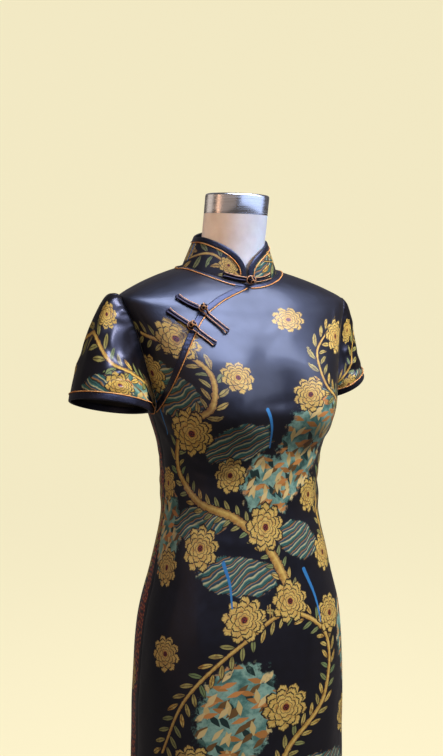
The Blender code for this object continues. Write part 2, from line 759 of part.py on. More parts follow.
# ------------------------------------------------------------------ collar
def collar_turns():
    """Turns from the right front edge round the back to the left one, closer at the front."""
    half = (COLLAR_COLUMNS - 1) // 2
    bend = np.linspace(0, 1, half + 1) ** 1.2
    right = COLLAR_MIDDLE + COLLAR_GAP + (math.pi - COLLAR_GAP) * bend
    left = 2 * (COLLAR_MIDDLE + math.pi) - right[::-1]
    return np.concatenate([right, left[1:]])


def collar_share(turns):
    """Height of the top edge as a share of the collar's, rounded down at the front corners."""
    from_front = np.abs(turn_difference(turns, COLLAR_MIDDLE)) - COLLAR_GAP
    climb = np.clip(1 - from_front / COLLAR_ROUND, 0, 1)
    rounded = (1 - climb**CORNER_POWER) ** (1 / CORNER_POWER)
    low = COLLAR_FRONT_EDGE / COLLAR_HEIGHT
    return low + (1 - low) * rounded


def collar_edge():
    """The collar's free edge: up the right front, along the top and down the left front."""
    turns, low = collar_turns(), COLLAR_FRONT_EDGE / COLLAR_HEIGHT
    rise = np.linspace(3 * COLLAR_SEAM / COLLAR_HEIGHT, low, 3)[:-1]
    first = np.concatenate([np.full(2, turns[0]), turns, np.full(2, turns[-1])])
    second = np.concatenate([rise, collar_share(turns), rise[::-1]])
    return first, second


def make_collar():
    turns = collar_turns()
    foot = COLLAR_SEAM / COLLAR_HEIGHT
    rows = np.linspace(0, 1, 4)[:, None]
    shares = foot + (collar_share(turns) - foot) * rows
    turns = np.repeat(turns[None, :], 4, axis=0)
    surface_wall("collar", collar_surface, turns, shares, 0, COLLAR_WALL, "satin")

    first, second = collar_edge()
    wrapped_edge("binding_collar", collar_surface, first, second, COLLAR_BINDING_WIDTH, COLLAR_WALL)
    inside = COLLAR_BINDING_WIDTH + 2.5 * SEAM_GAP + PIPING_RADIUS
    line = moved_across(collar_surface, first, second, inside)
    piping("piping_collar", collar_surface, (line[0][1:-1], line[1][1:-1]))


def wrapped_edge(name, surface, first, second, width, thickness):
    """A binding folded over a free edge, with legs on both faces of the cloth."""
    near = 1.8 * SEAM_GAP
    far = near + BINDING_WALL
    outer, inner = [], []
    for distance, inside in ((width, False), (0, False), (0, True), (width, True)):
        for grid, reach in ((outer, far), (inner, near)):
            place = moved_across(surface, first, second, distance or -reach)
            grid.append(lifted(surface, *place, -(thickness + reach) if inside else reach))
    return wall(name, np.array(outer), np.array(inner), "binding")


# ------------------------------------------------------------------ bindings
def neck_line(distance):
    """A line round the neck on the dress, this far below the neckline, open at the centre front."""
    start, end = COLLAR_MIDDLE + COLLAR_GAP, COLLAR_MIDDLE - COLLAR_GAP + 2 * math.pi
    turns = np.linspace(start, end, NECK_STATIONS)
    return moved_across(plain_body, turns, np.full(turns.shape, NECKLINE), distance)


def laid_on_panel(name, points, normals, finish):
    """A binding made from a panel's own points, moved out."""
    wall(name, points + normals * (SEAM_GAP + BINDING_WALL), points + normals * SEAM_GAP, finish)


def make_neck_trim():
    """The binding follows the top rows of the three panels that it is sewn to."""
    order = (("front_panel", 0), ("back_panel", -2 * math.pi), ("front_shoulder_right", -2 * math.pi))
    rows = []
    for row in (-2, -1):
        turns = [PANELS[name][0][row] + offset for name, offset in order]
        heights = [PANELS[name][1][row] for name, _ in order]
        rows.append((np.concatenate(turns), np.concatenate(heights)))
    points = [body(*row) for row in rows]
    normals = [outward_normal(body, *row) for row in rows]
    clear = 2 * SEAM_GAP / BINDING_WIDTH
    points[1] = points[1] * (1 - clear) + points[0] * clear
    laid_on_panel("binding_neck", np.array(points), np.array(normals), "binding")
    turns, heights = neck_line(BINDING_WIDTH + SEAM_GAP + PIPING_RADIUS)
    clear = turns > opening_turn(heights) + PIPING_END_TURN
    piping("piping_neck", plain_body, (turns[clear], heights[clear]))


def make_diagonal_trim():
    """The binding covers the front panel from the opening's edge to the piping line."""
    turns, heights = PANELS["front_panel"]
    rows = slice(len(SKIRT_LEVELS) + 1, -1)
    turns, heights = turns[rows, :2], heights[rows, :2]
    points, normals = body(turns, heights), outward_normal(body, turns, heights)
    clear = 2 * SEAM_GAP / np.linalg.norm(points[-1] - points[-2], axis=-1, keepdims=True)
    points[-1] = points[-1] * (1 - clear) + points[-2] * clear
    laid_on_panel("binding_diagonal", points, normals, "binding")
    cord_line = moved_across(body, turns[:, 1], heights[:, 1], -(SEAM_GAP + PIPING_RADIUS))
    cord_line = evenly_spaced(body, *cord_line, DIAGONAL_STATIONS)
    piping("piping_diagonal", body, cord_line)


def hem_lines(distance, panel_turns):
    """A line inside the edge of the front or back half: down one slit, along the hem and up the other."""
    across = distance / section("front", HEM)
    heights = np.linspace(SLIT_TOP, HEM + 2 * BINDING_WIDTH, 6)
    corner = side_edge(np.array(HEM), 0) - across
    side = side_edge(heights, 0) - across
    turns = np.concatenate([side, np.clip(panel_turns, -corner, corner), -side[::-1]])
    rows = np.concatenate([heights, np.full(len(panel_turns), HEM + distance), heights[::-1]])
    return turns, rows


def make_hem_trim():
    for name, middle in (("front", 0), ("back", CENTRE_BACK)):
        panel_turns = np.sort(PANELS[name + "_panel"][0][0] - middle)[::-1]
        edge, inside = hem_lines(0, panel_turns), hem_lines(BINDING_WIDTH, panel_turns)
        edge = (edge[0] + middle, edge[1])
        inside = (inside[0] + middle, inside[1])
        strip("binding_hem_" + name, body, edge, inside, 2, "binding")
        turns, heights = hem_lines(BINDING_WIDTH + SEAM_GAP + PIPING_RADIUS, panel_turns)
        piping("piping_hem_" + name, body, (turns + middle, heights))


# ------------------------------------------------------------------ frogs
def frog_places(surface, knot, tail, along, across, lift):
    """Points given by their distances from the knot towards a tail, sideways and off the surface."""
    knot, tail = np.array(knot, float), np.array(tail, float)
    ends = surface(np.array([knot[0], tail[0]]), np.array([knot[1], tail[1]]))
    share = np.asarray(along, float) / np.linalg.norm(ends[1] - ends[0])
    first = knot[0] + (tail[0] - knot[0]) * share
    second = knot[1] + (tail[1] - knot[1]) * share
    along_first, along_second = tangents(surface, first, second)
    travel = along_first * (tail[0] - knot[0]) + along_second * (tail[1] - knot[1])
    normal = outward_normal(surface, first, second)
    sideways = np.cross(normal, travel)
    sideways = sideways / np.linalg.norm(sideways, axis=-1, keepdims=True)
    system = np.stack([along_first, along_second], -1)
    step = np.einsum("...ij,...j->...i", np.linalg.pinv(system), sideways * np.asarray(across)[..., None])
    first, second = first + step[..., 0], second + step[..., 1]
    return lifted(surface, first, second, lift), outward_normal(surface, first, second)


def make_knot_half(name, surface, knot, tail, arm):
    """A flat bar that ends in a short stem and a ball."""
    bar_along = np.concatenate([np.linspace(arm, 0.012, 5), [0.008, 0.0045]])
    widths = np.array([1.0, 1.0, 1.0, 1.0, 1.0, 0.8, 0.5]) * BAR_HALF_WIDTH
    middle = FROG_LIFT + BAR_THICK / 2
    centres, normals = frog_places(surface, knot, tail, bar_along, np.zeros(7), middle)
    along_bar = zip(centres, normals, widths)
    rings = [bar_ring(centre, normal, centres, width) for centre, normal, width in along_bar]

    places, normals = frog_places(surface, knot, tail, np.array([0.0, 0.001]), np.zeros(2), middle)
    upward = normals[0]
    forward = places[0] - places[1]
    forward = forward / np.linalg.norm(forward)
    sideways = np.cross(upward, forward)
    for bend in np.radians([0, 45, 90]):
        bent = forward * (math.sin(bend) - 1) + upward * (1 - math.cos(bend))
        rise = upward * math.cos(bend) - forward * math.sin(bend)
        rings.append(oval(places[0] + STEM_BEND * bent, sideways, rise, STEM_RADIUS, STEM_RADIUS))
    loop_level = BAR_THICK / 2 + SEAM_GAP + CORD_RADIUS
    reach = BALL_RADIUS + CORD_RADIUS + SEAM_GAP
    ball_level = loop_level + math.sqrt(reach**2 - LOOP_RADIUS**2)
    for angle in np.radians([-62, -35, 0, 35, 65]):
        centre = places[0] + upward * (ball_level + BALL_RADIUS * math.sin(angle))
        radius = BALL_RADIUS * math.cos(angle)
        rings.append(oval(centre, sideways, -forward, radius, radius))
    loft(name, rings, "frog")


def oval(centre, sideways, upward, half_width, half_height):
    angles = 2 * math.pi * (np.arange(KNOT_SIDES) + 0.5) / KNOT_SIDES
    return (
        centre
        + half_width * np.cos(angles)[:, None] * sideways
        + half_height * np.sin(angles)[:, None] * upward
    )


def bar_ring(centre, normal, centres, half_width):
    """A cross-section of a bar whose middle line runs through these centres."""
    towards = centres[-1] - centres[0]
    sideways = np.cross(normal, towards)
    sideways = sideways / np.linalg.norm(sideways)
    return oval(centre, sideways, normal, half_width / math.cos(math.pi / KNOT_SIDES), BAR_THICK / 2)


def make_loop_half(name, surface, knot, tail, arm):
    """One cord that runs up beside itself, rises over the bar and passes round under the ball."""
    leg = np.array([arm, 0.75 * arm, 0.5 * arm, 0.012, 0.009])
    spread = CORD_SPACING / 2
    angles = np.radians(np.linspace(48, 180, 7))
    along = np.concatenate([leg, LOOP_RADIUS * np.cos(angles)])
    across = np.concatenate([[spread] * 4, [spread * 1.15], LOOP_RADIUS * np.sin(angles)])
    low = FROG_LIFT + CORD_RADIUS
    high = FROG_LIFT + BAR_THICK + SEAM_GAP + CORD_RADIUS
    lift = np.interp(along, [0.004, 0.012], [high, low])
    along = np.concatenate([along, along[-2::-1]])
    across = np.concatenate([across, -across[-2::-1]])
    lift = np.concatenate([lift, lift[-2::-1]])
    centres, normals = frog_places(surface, knot, tail, along, across, lift)
    loft(name, cord_rings(centres, normals, CORD_RADIUS, 6), "frog")


def make_frogs():
    surfaces = {"collar": collar_surface, "body": plain_body}
    for name, surface_name, knot_tail, knot, loop_tail in FROGS:
        surface = surfaces[surface_name]
        places = [(math.radians(turn), height) for turn, height in (knot_tail, knot, loop_tail)]
        knot_end, middle, loop_end = (surface(*place) for place in places)
        knot_arm, loop_arm = np.linalg.norm(knot_end - middle), np.linalg.norm(loop_end - middle)
        make_knot_half(f"frog_{name}_knot", surface, places[1], places[0], knot_arm)
        make_loop_half(f"frog_{name}_loop", surface, places[1], places[2], loop_arm)


# ------------------------------------------------------------------ dress form
def round_turns():
    return np.linspace(0, 2 * math.pi, FORM_SIDES, endpoint=False)


def torso_ring(height, inset=0.0):
    """A ring of the form at this height, kept clear of the inside of the dress."""
    heights = column(FORM_CLEARANCE, FORM_CLEARANCE_COLUMNS, "height")
    clearance = np.interp(height, heights, column(FORM_CLEARANCE, FORM_CLEARANCE_COLUMNS, "clearance"))
    return lifted(plain_body, round_turns(), height, -(CLOTH + clearance + inset))


def neck_ring(distance, lean, radius):
    """A ring on the neck, square to this lean, at this distance up the neck's axis."""
    axis = np.array([0, -math.sin(NECK_LEAN), math.cos(NECK_LEAN)])
    forward = np.array([0, -math.cos(lean), -math.sin(lean)])
    rightward = np.array([-1, 0, 0])
    turns = round_turns()[:, None]
    outward = np.sin(turns) * rightward + np.cos(turns) * forward
    return np.array(NECK_FOOT) + axis * distance + radius * outward


def make_form():
    rings = [torso_ring(FORM_BOTTOM, 0.012), torso_ring(FORM_BOTTOM, 0.003)]
    rings[0][:, 2] = FORM_BOTTOM
    rings[1][:, 2] = FORM_BOTTOM + 0.005
    rings += [torso_ring(level) for level in FORM_LEVELS]
    root, shoulder = neck_ring(0.060, NECK_LEAN, NECK_RADIUS), rings[-1]
    upper = neck_ring(0.085, NECK_LEAN, NECK_RADIUS)
    for share in (0.3, 0.65):
        rings.append(shoulder * (1 - share) ** 2 + root * 2 * share * (1 - share) + upper * share**2)
    neck_top = NECK_LENGTH - CAP_HEIGHT
    rings += [upper, neck_ring(neck_top, CAP_LEAN, NECK_RADIUS)]
    loft("form_torso", rings, "form")

    cap_profile = (
        (SEAM_GAP, NECK_RADIUS),
        (CAP_HEIGHT - 0.003, NECK_RADIUS),
        (CAP_HEIGHT - 0.0008, NECK_RADIUS - 0.001),
        (CAP_HEIGHT, NECK_RADIUS - 0.0035),
    )
    cap_rings = [neck_ring(neck_top + up, CAP_LEAN, radius) for up, radius in cap_profile]
    loft("form_neck_cap", cap_rings, "steel")


def turned(name, profile, finish, sides):
    """A solid of revolution about the vertical axis, from (radius, height) pairs going up."""
    angles = np.linspace(0, 2 * math.pi, sides, endpoint=False)
    rings = [
        np.stack([radius * np.cos(angles), radius * np.sin(angles), np.full(sides, height)], -1)
        for radius, height in profile
    ]
    loft(name, rings, finish)


def make_stand():
    edge = 0.004
    turned("form_base", (
        (BASE_RADIUS - edge, 0),
        (BASE_RADIUS, edge),
        (BASE_RADIUS, BASE_HEIGHT - 2 * edge),
        (BASE_RADIUS - edge, BASE_HEIGHT - edge / 2),
        (BASE_RADIUS - 6 * edge, BASE_HEIGHT),
    ), "steel", 36)
    pole = ((POLE_RADIUS, BASE_HEIGHT + SEAM_GAP), (POLE_RADIUS, FORM_BOTTOM - SEAM_GAP))
    turned("form_pole", pole, "steel", 20)


def main():
    for old in list(bpy.data.objects):
        bpy.data.objects.remove(old, do_unlink=True)
    make_panels()
    make_collar()
    make_neck_trim()
    make_diagonal_trim()
    for side in SIDE_SIGN:
        make_sleeve(side)
    make_hem_trim()
    make_frogs()
    make_form()
    make_stand()


main()
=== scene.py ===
"""Cheongsam dress on a limbless dress form: cloth, trims, frogs, form and stand, with their finishes.

Metres, +Z up. The dress faces -Y and its right side is towards -X. A place on the dress is a turn
(0 at the centre front, 90 degrees at the right side seam, 180 at the centre back) and the height of
the side seam on the same section, as in the solids that these pieces stand for.
"""

import json
import math
from functools import partial

import bpy
import numpy as np
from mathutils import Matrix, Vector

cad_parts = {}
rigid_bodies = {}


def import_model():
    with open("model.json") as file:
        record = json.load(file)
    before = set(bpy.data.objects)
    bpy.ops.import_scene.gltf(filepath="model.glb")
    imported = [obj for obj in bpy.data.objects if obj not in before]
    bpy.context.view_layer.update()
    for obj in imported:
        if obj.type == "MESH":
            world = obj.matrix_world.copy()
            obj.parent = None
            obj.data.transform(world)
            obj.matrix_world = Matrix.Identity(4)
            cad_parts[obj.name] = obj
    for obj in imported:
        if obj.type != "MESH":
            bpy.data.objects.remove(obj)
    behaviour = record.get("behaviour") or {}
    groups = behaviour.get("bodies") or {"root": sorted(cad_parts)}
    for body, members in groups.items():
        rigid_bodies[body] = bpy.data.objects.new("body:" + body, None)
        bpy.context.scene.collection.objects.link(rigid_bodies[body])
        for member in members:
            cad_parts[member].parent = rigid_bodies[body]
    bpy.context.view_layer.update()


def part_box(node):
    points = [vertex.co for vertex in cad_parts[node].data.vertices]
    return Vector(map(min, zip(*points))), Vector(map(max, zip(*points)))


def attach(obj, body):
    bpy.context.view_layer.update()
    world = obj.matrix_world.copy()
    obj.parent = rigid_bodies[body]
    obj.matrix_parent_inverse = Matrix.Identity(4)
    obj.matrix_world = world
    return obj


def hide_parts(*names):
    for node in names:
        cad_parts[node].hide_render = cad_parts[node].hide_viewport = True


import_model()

bl_info = {
    "name": "Cheongsam on dress form",
    "version": (1, 0, 0),
    "blender": (4, 5, 0),
    "location": "3D View > Sidebar > Cheongsam",
    "description": "Makes a printed satin cheongsam with bound edges and knot frogs on a dress form",
    "category": "Object",
}


# ------------------------------------------------------------------ sizes shared with the solids
CLOTH = 0.0012
COLLAR_WALL = 0.0018
SEAM_GAP = 0.0003
BINDING_WALL = 0.0008
BINDING_WIDTH = 0.009
COLLAR_BINDING_WIDTH = 0.0065
PIPING_RADIUS = 0.0009
PIPING_STATION = 0.0011
HEM = 0.36
SLIT_TOP = 0.62
SLIT_GAP = 0.0045
NECKLINE = 1.42
CENTRE_BACK = math.pi
SIDE = math.pi / 2
HALVES = {"front": 0, "back": CENTRE_BACK}
# Horizontal sections of the worn dress, from hem to neck: the height, then these columns. Front and
# back are depths from the section's centre, which stands set_back behind the side-to-side axis;
# front_drop and back_rise tilt the section, as on a neckline.
SECTION_COLUMNS = ("half_width", "front", "back", "squareness", "front_drop", "back_rise", "set_back")
SECTIONS = (
    (0.36, 0.182, 0.13, 0.13, 2.2, 0.0, 0.0, -0.006), (0.56, 0.18, 0.128, 0.128, 2.2, 0.0, 0.0, -0.006),
    (0.74, 0.177, 0.124, 0.126, 2.25, 0.0, 0.0, -0.008), (0.87, 0.168, 0.115, 0.12, 2.3, 0.0, 0.0, -0.01),
    (0.96, 0.147, 0.102, 0.1, 2.3, 0.0, 0.0, -0.01), (1.06, 0.13, 0.092, 0.086, 2.2, 0.0, 0.0, -0.01),
    (1.14, 0.134, 0.098, 0.088, 2.2, 0.0, 0.0, -0.008), (1.205, 0.15, 0.108, 0.095, 2.3, 0.002, 0.0, -0.004),
    (1.27, 0.168, 0.106, 0.102, 2.4, 0.006, 0.0, 0.0),
    (1.33, 0.184, 0.0905, 0.0975, 2.3, 0.014, 0.002, 0.0005),
    (1.374, 0.198, 0.0755, 0.081, 2.2, 0.0245, 0.006, 0.004),
    (1.382, 0.181, 0.075, 0.0775, 2.4, 0.0262, 0.008, 0.0075),
    (1.39, 0.165, 0.0745, 0.0725, 2.5, 0.0275, 0.01, 0.0115),
    (1.407, 0.122, 0.0735, 0.0615, 2.5, 0.0285, 0.013, 0.0215),
    (1.42, 0.079, 0.07, 0.05, 2, 0.026, 0.015, 0.03),
)
SECTION_COUNT = 266
SECTION_BLEND = 0.01
# The cups that the darts shape: place from the middle, bridging between them, height, depth and spread.
CUP_SIDEWAYS = 0.087
CUP_BRIDGE = 0.034
CUP_HEIGHT = 1.203
CUP_DEPTH = 0.034
CUP_SPREAD = 0.045
CUP_ABOVE = 0.062
CUP_BELOW = 0.04
# Soft folds of the cloth, as ridges: turn and height of the middle, direction (0 runs level, 90
# upright), half length, half width and depth.
FOLDS = (
    (62, 1.178, 24, 0.03, 0.0075, 0.0022), (-60, 1.18, -30, 0.034, 0.008, 0.0024),
    (70, 1.15, 38, 0.024, 0.007, 0.0016), (58, 1.076, 8, 0.034, 0.009, 0.0018),
    (-64, 1.06, -10, 0.036, 0.0085, 0.002), (-48, 1.092, -14, 0.022, 0.007, 0.0014),
    (124, 1.072, 6, 0.04, 0.0095, 0.0022), (-128, 1.058, -7, 0.042, 0.009, 0.0024),
    (150, 1.1, 10, 0.028, 0.008, 0.0016), (38, 0.56, 84, 0.15, 0.022, 0.0045),
    (-30, 0.54, 95, 0.135, 0.024, 0.004), (148, 0.56, 88, 0.145, 0.023, 0.0045),
    (-152, 0.55, 93, 0.13, 0.021, 0.004),
)
# Armholes: a rounded D between two heights, as wide as these turns in front of and behind the seam.
ARMHOLE_LOW = 1.2
ARMHOLE_HIGH = 1.374
ARMHOLE_FRONT = 0.235
ARMHOLE_BACK = 0.28
ARMHOLE_SQUARENESS = 3.0
ARMHOLE_STEPS = 12
# Sleeve openings: centre, outward lean and forward tilt of the sleeve's axis, half sizes.
CUFFS = {
    "right": {
        "centre": (-0.218, -0.0094, 1.2139),
        "lean": 0.226,
        "tilt": 0.181,
        "half_width": 0.0585,
        "half_depth": 0.0612,
    },
    "left": {
        "centre": (0.2, 0.02, 1.23),
        "lean": 0.5,
        "tilt": -0.047,
        "half_width": 0.047,
        "half_depth": 0.0624,
    },
}
SIDE_SIGN = {"right": -1, "left": 1}
SLEEVE_HEAD_REACH = 0.45
SLEEVE_HEAD_FULLNESS = 0.18
SLEEVE_PUFF = {"right": 0.0085, "left": 0.0015}
SLEEVE_PUFF_AT = 0.12
SLEEVE_CUFF_REACH = 0.8
# Folds of the sleeves: place round the sleeve (0 underarm, 90 front), share of its length, then as above.
SLEEVE_FOLDS = (
    (84, 0.78, 12, 0.03, 0.008, 0.0035), (62, 0.45, 60, 0.026, 0.007, 0.0025),
    (128, 0.3, 72, 0.024, 0.0075, 0.0022), (262, 0.66, -14, 0.03, 0.0085, 0.0032),
    (300, 0.42, -55, 0.022, 0.007, 0.0024),
)
# The side opening's piping line, from the centre front of the neck to the right armhole: height, turn.
OPENING = (
    (1.414, 5.3), (1.404, 14.5), (1.39, 20.8), (1.3756, 23.8), (1.3471, 31.8), (1.3115, 40.5), (1.2767, 49.1),
    (1.2475, 58), (1.2207, 69.7), (1.2078, 78), (1.201, 84),
)
OPENING_TIP = math.radians(0.5)
PIPING_END_TURN = math.radians(2)
# Stand collar: height, half sizes of its top edge, and the rounding of its front corners.
COLLAR_HEIGHT = 0.045
COLLAR_SEAM = 0.0004
COLLAR_TOP_SIDE = 0.0565
COLLAR_TOP_FRONT = 0.063
COLLAR_TOP_SET_BACK = 0.023
COLLAR_FRONT_EDGE = 0.012
COLLAR_ROUND = math.radians(40)
COLLAR_GAP = math.radians(2.5)
COLLAR_MIDDLE = math.radians(4)
COLLAR_ENDS = (COLLAR_MIDDLE + COLLAR_GAP, COLLAR_MIDDLE - COLLAR_GAP + 2 * math.pi)
COLLAR_BOW = 0.0007
COLLAR_SLACK = 0.0001
CORNER_POWER = 2.2
# Knot-and-loop frogs: name, the surface they lie on, and the places (turn, height) of the knot's tail,
# the knot and the loop's tail. On the collar a height is a share of the collar's.
FROGS = (
    ("collar", "collar", (31.0, 0.125), (1.6, 0.115), (-30.0, 0.125)),
    ("upper", "body", (43.1, 1.3852), (28.5, 1.3715), (20.9, 1.3343)),
    ("lower", "body", (45.5, 1.362), (36.9, 1.3385), (29.2, 1.3127)),
)
FROG_LIFT = 0.0022
# A bar is two cords side by side: its thickness, the cords' radius, half the distance between them, how
# much more that is at the tail and how soon it falls off, and where the cords end short of the ball.
BAR_THICK = 0.0026
BAR_RADIUS = 0.0019
BAR_SPREAD = 0.00185
BAR_FLARE = 0.42
BAR_FLARE_REACH = 0.0042
BAR_END = 0.0085
TAIL_SUNK = 0.0002
# The loop's cord, and how far out and up its bright edge lies.
LOOP_CORD = 0.00145
LOOP_EDGE_OUT = 0.0012
LOOP_EDGE_UP = 0.0007
CORD_RADIUS = 0.0013
LOOP_RADIUS = 0.0048
BALL_RADIUS = 0.0052
FORM_BOTTOM = 0.8
# Room between the form and the cloth: height, clearance.
FORM_CLEARANCE = (
    (0.8, 0.005), (1.06, 0.006), (1.2, 0.0024), (1.33, 0.0018), (1.374, 0.0018), (1.42, 0.003),
)
NECK_RADIUS = 0.05
NECK_FOOT = (0.0, 0.03, 1.38)
NECK_LENGTH = 0.1555
NECK_LEAN = 0.196
CAP_HEIGHT = 0.031
CAP_LEAN = 0.08
NECK_TOP = NECK_LENGTH - CAP_HEIGHT
# Up the neck's axis: what the shoulders curve in towards, and where the neck runs straight.
NECK_ROOT = 0.06
NECK_STRAIGHT = 0.085
# The form's rounded lower edge: how far in and how far up.
FORM_ROUNDING = ((0.012, 0.0), (0.006, 0.0006), (0.003, 0.0022), (0.0012, 0.005))
# Degrees between faces from which an edge of the steel parts stays sharp.
STEEL_EDGE = 40
# Steps over which a surface's slopes are measured, in turn and in height.
FIRST_STEP = 1e-3
SECOND_STEP = 2e-4

# Softness of the finished cloth:
# unevenness and its waves (share, how fast they change with the turn and the height, and their start),
# the dip along a side seam and its reach, a sleeve's usual length, the roll of its head and the puckers
# where it is eased in.
SLACK = 0.00028
SLACK_WAVES = ((1, 7.3, 21, 0.4), (0.8, 11.9, -33, 2.1), (0.6, 19, 58, 4), (0.5, 3.1, -74, 1.2))
SEAM_DITCH = 0.0007
SEAM_REACH = 0.004
SLEEVE_DOWN = 0.15
HEAD_ROLL = 0.0016
PUCKER = 0.00042

# Finer rows and columns than the solids have.
PANEL_COLUMNS = 150
BACK_COLUMNS = 140
SHOULDER_COLUMNS = 64
SKIRT_ROWS = 78
BODICE_ROWS = 96
ARMHOLE_ROWS = 84
NECK_ROWS = 26
SLEEVE_AROUND = 176
SLEEVE_ROWS = 46
COLLAR_EDGE_POINTS = 330
COLLAR_ROWS = 15
FORM_SIDES = 128
NECK_STATIONS = 240
CUFF_STATIONS = 220
HEM_STATIONS = 300

# Print motifs, in metres on the flat cloth.
# Leaves of the drifts, a layer a row: which way they lie, length and width of the cells that hold one,
# colour, and a number that sets the layer's layout.
DRIFT_LEAVES = (
    (0.95, 0.042, 0.015, "#1D3430", 0.3), (-0.7, 0.04, 0.014, "#6E5226", 1.9),
    (0.35, 0.04, 0.0135, "#B07A36", 3.1), (1.45, 0.038, 0.014, "#CDB878", 4.7),
    (-0.25, 0.04, 0.013, "#C98A44", 6.2), (2.3, 0.038, 0.0135, "#D9C488", 9.1),
)
LEAF_ROUNDNESS = 1.15
# Rings of petals: share of the bloom's radius, petals, how pointed they are, and their colour.
PETAL_RINGS = (
    (1.0, 9, 0.55, "#B98E3C"), (0.8, 8, 0.5, "#C9A24E"), (0.6, 7, 0.5, "#B07A30"), (0.42, 6, 0.45, "#D2B264"),
    (0.27, 5, 0.45, "#C08A3A"),
)
LINE_REACH = 0.026
FAR = 9.0
LEAF_STEP = 0.019
LEAF_AWAY = 0.0112
LEAF_LENGTH = 0.0125
LEAF_WIDTH = 0.0042
LEAF_LEAN = 0.55
RIPPLE_BEND = 0.03
RIPPLE_SLANT = 0.45
RIPPLE_SCALE = 26.0
SPRIG_SCALE = 150.0

# Print and cloth colours, sRGB.
GROUND_DARK = "#0A080B"
GROUND_LIGHT = "#120F13"
DRIFT_DEEP = "#27413F"
DRIFT_TEAL = "#4F807C"
DRIFT_PALE = "#8DB8AE"
RIPPLE_DEEP = "#142F3C"
RIPPLE_TEAL = "#3E7C78"
RIPPLE_CREAM = "#C9C79A"
RIPPLE_BLUE = "#2B5670"
RIPPLE_GOLD = "#A87C3E"
GOLD_PALE = "#DDC56A"
GOLD_OLD = "#B59034"
GOLD_BURNT = "#8A5422"
LEAF_GREEN = "#6E8A58"
OUTLINE = "#1A120C"
CORE_RED = "#8E2F1E"
STROKE_BLUE = "#2E7CC8"
SPRIG_GOLD = "#C89A4A"
SPRIG_RED = "#8C2A24"
SATIN_SHEEN = "#8A90A8"
SATIN_GLINT = "#C6D0F0"
LINING_DARK = "#0E0D10"
LINING_LIGHT = "#1B1A1E"
FORM_SHADE = "#DDD3CC"
FORM_PALE = "#EDE7E2"

# Knotted balls, copper edging and stitches.
KNOT_LEADS = 3
KNOT_BIGHTS = 5
KNOT_REACH = math.radians(62)
EDGING_RADIUS = 0.00078
STITCH_THICKNESS = 0.00042
STITCH_SLANT = 0.35
STITCH_WANDER = 0.12
STITCH_IN = 0.0012

# What each piece of cloth was cut from: (width, length) in metres and its flat area.
PANEL_CUTS = (
    ("front_panel", (0.52, 1.07), 0.46), ("back_panel", (0.52, 1.08), 0.469),
    ("front_shoulder_right", (0.2, 0.22), 0.0212),
)
SLEEVE_CUTS = {"right": ((0.36, 0.17), 0.0343), "left": ((0.34, 0.14), 0.024)}
COLLAR_CUT = (
    (0.4, 0.055), 0.018,
)
BINDING_CUTS = {
    "binding_collar": ((0.5, 0.017), 0.008), "binding_neck": ((0.42, 0.01), 0.004),
    "binding_diagonal": ((0.25, 0.01), 0.0023), "binding_hem_front": ((1.08, 0.01), 0.0089),
    "binding_hem_back": ((1.08, 0.01), 0.0089), "binding_cuff_right": ((0.38, 0.02), 0.0072),
    "binding_cuff_left": ((0.34, 0.02), 0.0059),
}

# Studio, in metres and degrees.
CAMERA_PLACE = (-0.6557, -1.1804, 1.35)
CAMERA_DOWN = 4.4
CAMERA_ROUND = 28.0
CAMERA_LENS = 40.69

# Softboxes. "seen" is the kind of light one gives: soft (no highlight) or shine (highlights only).
# "lights" is what it lights: all, form (neck and cap), not_form, sleeves or not_sleeves.
LAMP_COLUMNS = ("name", "place", "target", "width", "height", "power", "colour", "seen", "lights")
LAMPS = (
    ("key", (0.95, -1.25, 3.1), (0.0, 0.0, 1.22), 0.4, 0.4, 88.0, "#FFF6EA", "soft", "not_form"),
    ("glint", (0.08, -1.0, 3.1), (0.05, -0.1, 1.25), 2.5, 1.4, 200.0, "#D0DAF6", "shine", "not_sleeves"),
    ("sleeve_glint", (0.37, -1.4, 2.9), (-0.18, -0.1, 1.28), 0.85, 0.42, 62.0, "#DADBF6", "shine", "sleeves"),
    ("chest_glint", (1.25, -1.28, 2.09), (0.0, -0.1, 1.22), 1.3, 0.8, 16.0, "#D0DAF6", "shine",
     "not_sleeves"),
    ("warm_card", (-1.6, -0.9, 1.35), (0.0, 0.0, 1.2), 1.6, 2.0, 2.4, "#FFC39A", "shine", "not_form"),
    ("fill", (-1.75, -0.55, 1.55), (0.0, 0.0, 1.15), 1.6, 1.8, 6.0, "#FFD3A6", "soft", "all"),
    ("back", (0.2, 1.5, 2.6), (0.0, 0.0, 1.3), 1.4, 0.7, 18.0, "#F2F5FF", "soft", "all"),
    ("neck_cool", (1.05, -1.25, 1.85), (0.0, 0.02, 1.46), 0.7, 0.9, 36.0, "#C9DCFF", "soft", "form"),
    ("neck_warm", (-1.45, -0.85, 1.8), (0.0, 0.02, 1.46), 0.8, 0.9, 12.0, "#FFD6B8", "soft", "form"),
    ("cap_cool", (0.79, -1.27, 1.7), (0.0, 0.0, 1.52), 3.3, 0.9, 21.0, "#BBD0FF", "shine", "form"),
    ("cap_strip", (-1.49, 0.13, 1.62), (0.0, 0.0, 1.52), 0.22, 0.8, 1.9, "#FFC9A4", "shine", "form"),
    ("cap_shade", (-1.35, -0.75, 1.7), (0.0, 0.0, 1.52), 1.9, 0.9, 1.8, "#FFE6D8", "shine", "form"),
    ("cap_edge", (-0.95, 1.1, 1.7), (0.0, 0.0, 1.52), 0.9, 0.9, 2.5, "#FFF0E4", "shine", "form"),
)
LIT_PIECES = {"form": ("neck_cap", "form_cover"), "sleeves": ("right_sleeve_satin", "left_sleeve_satin")}


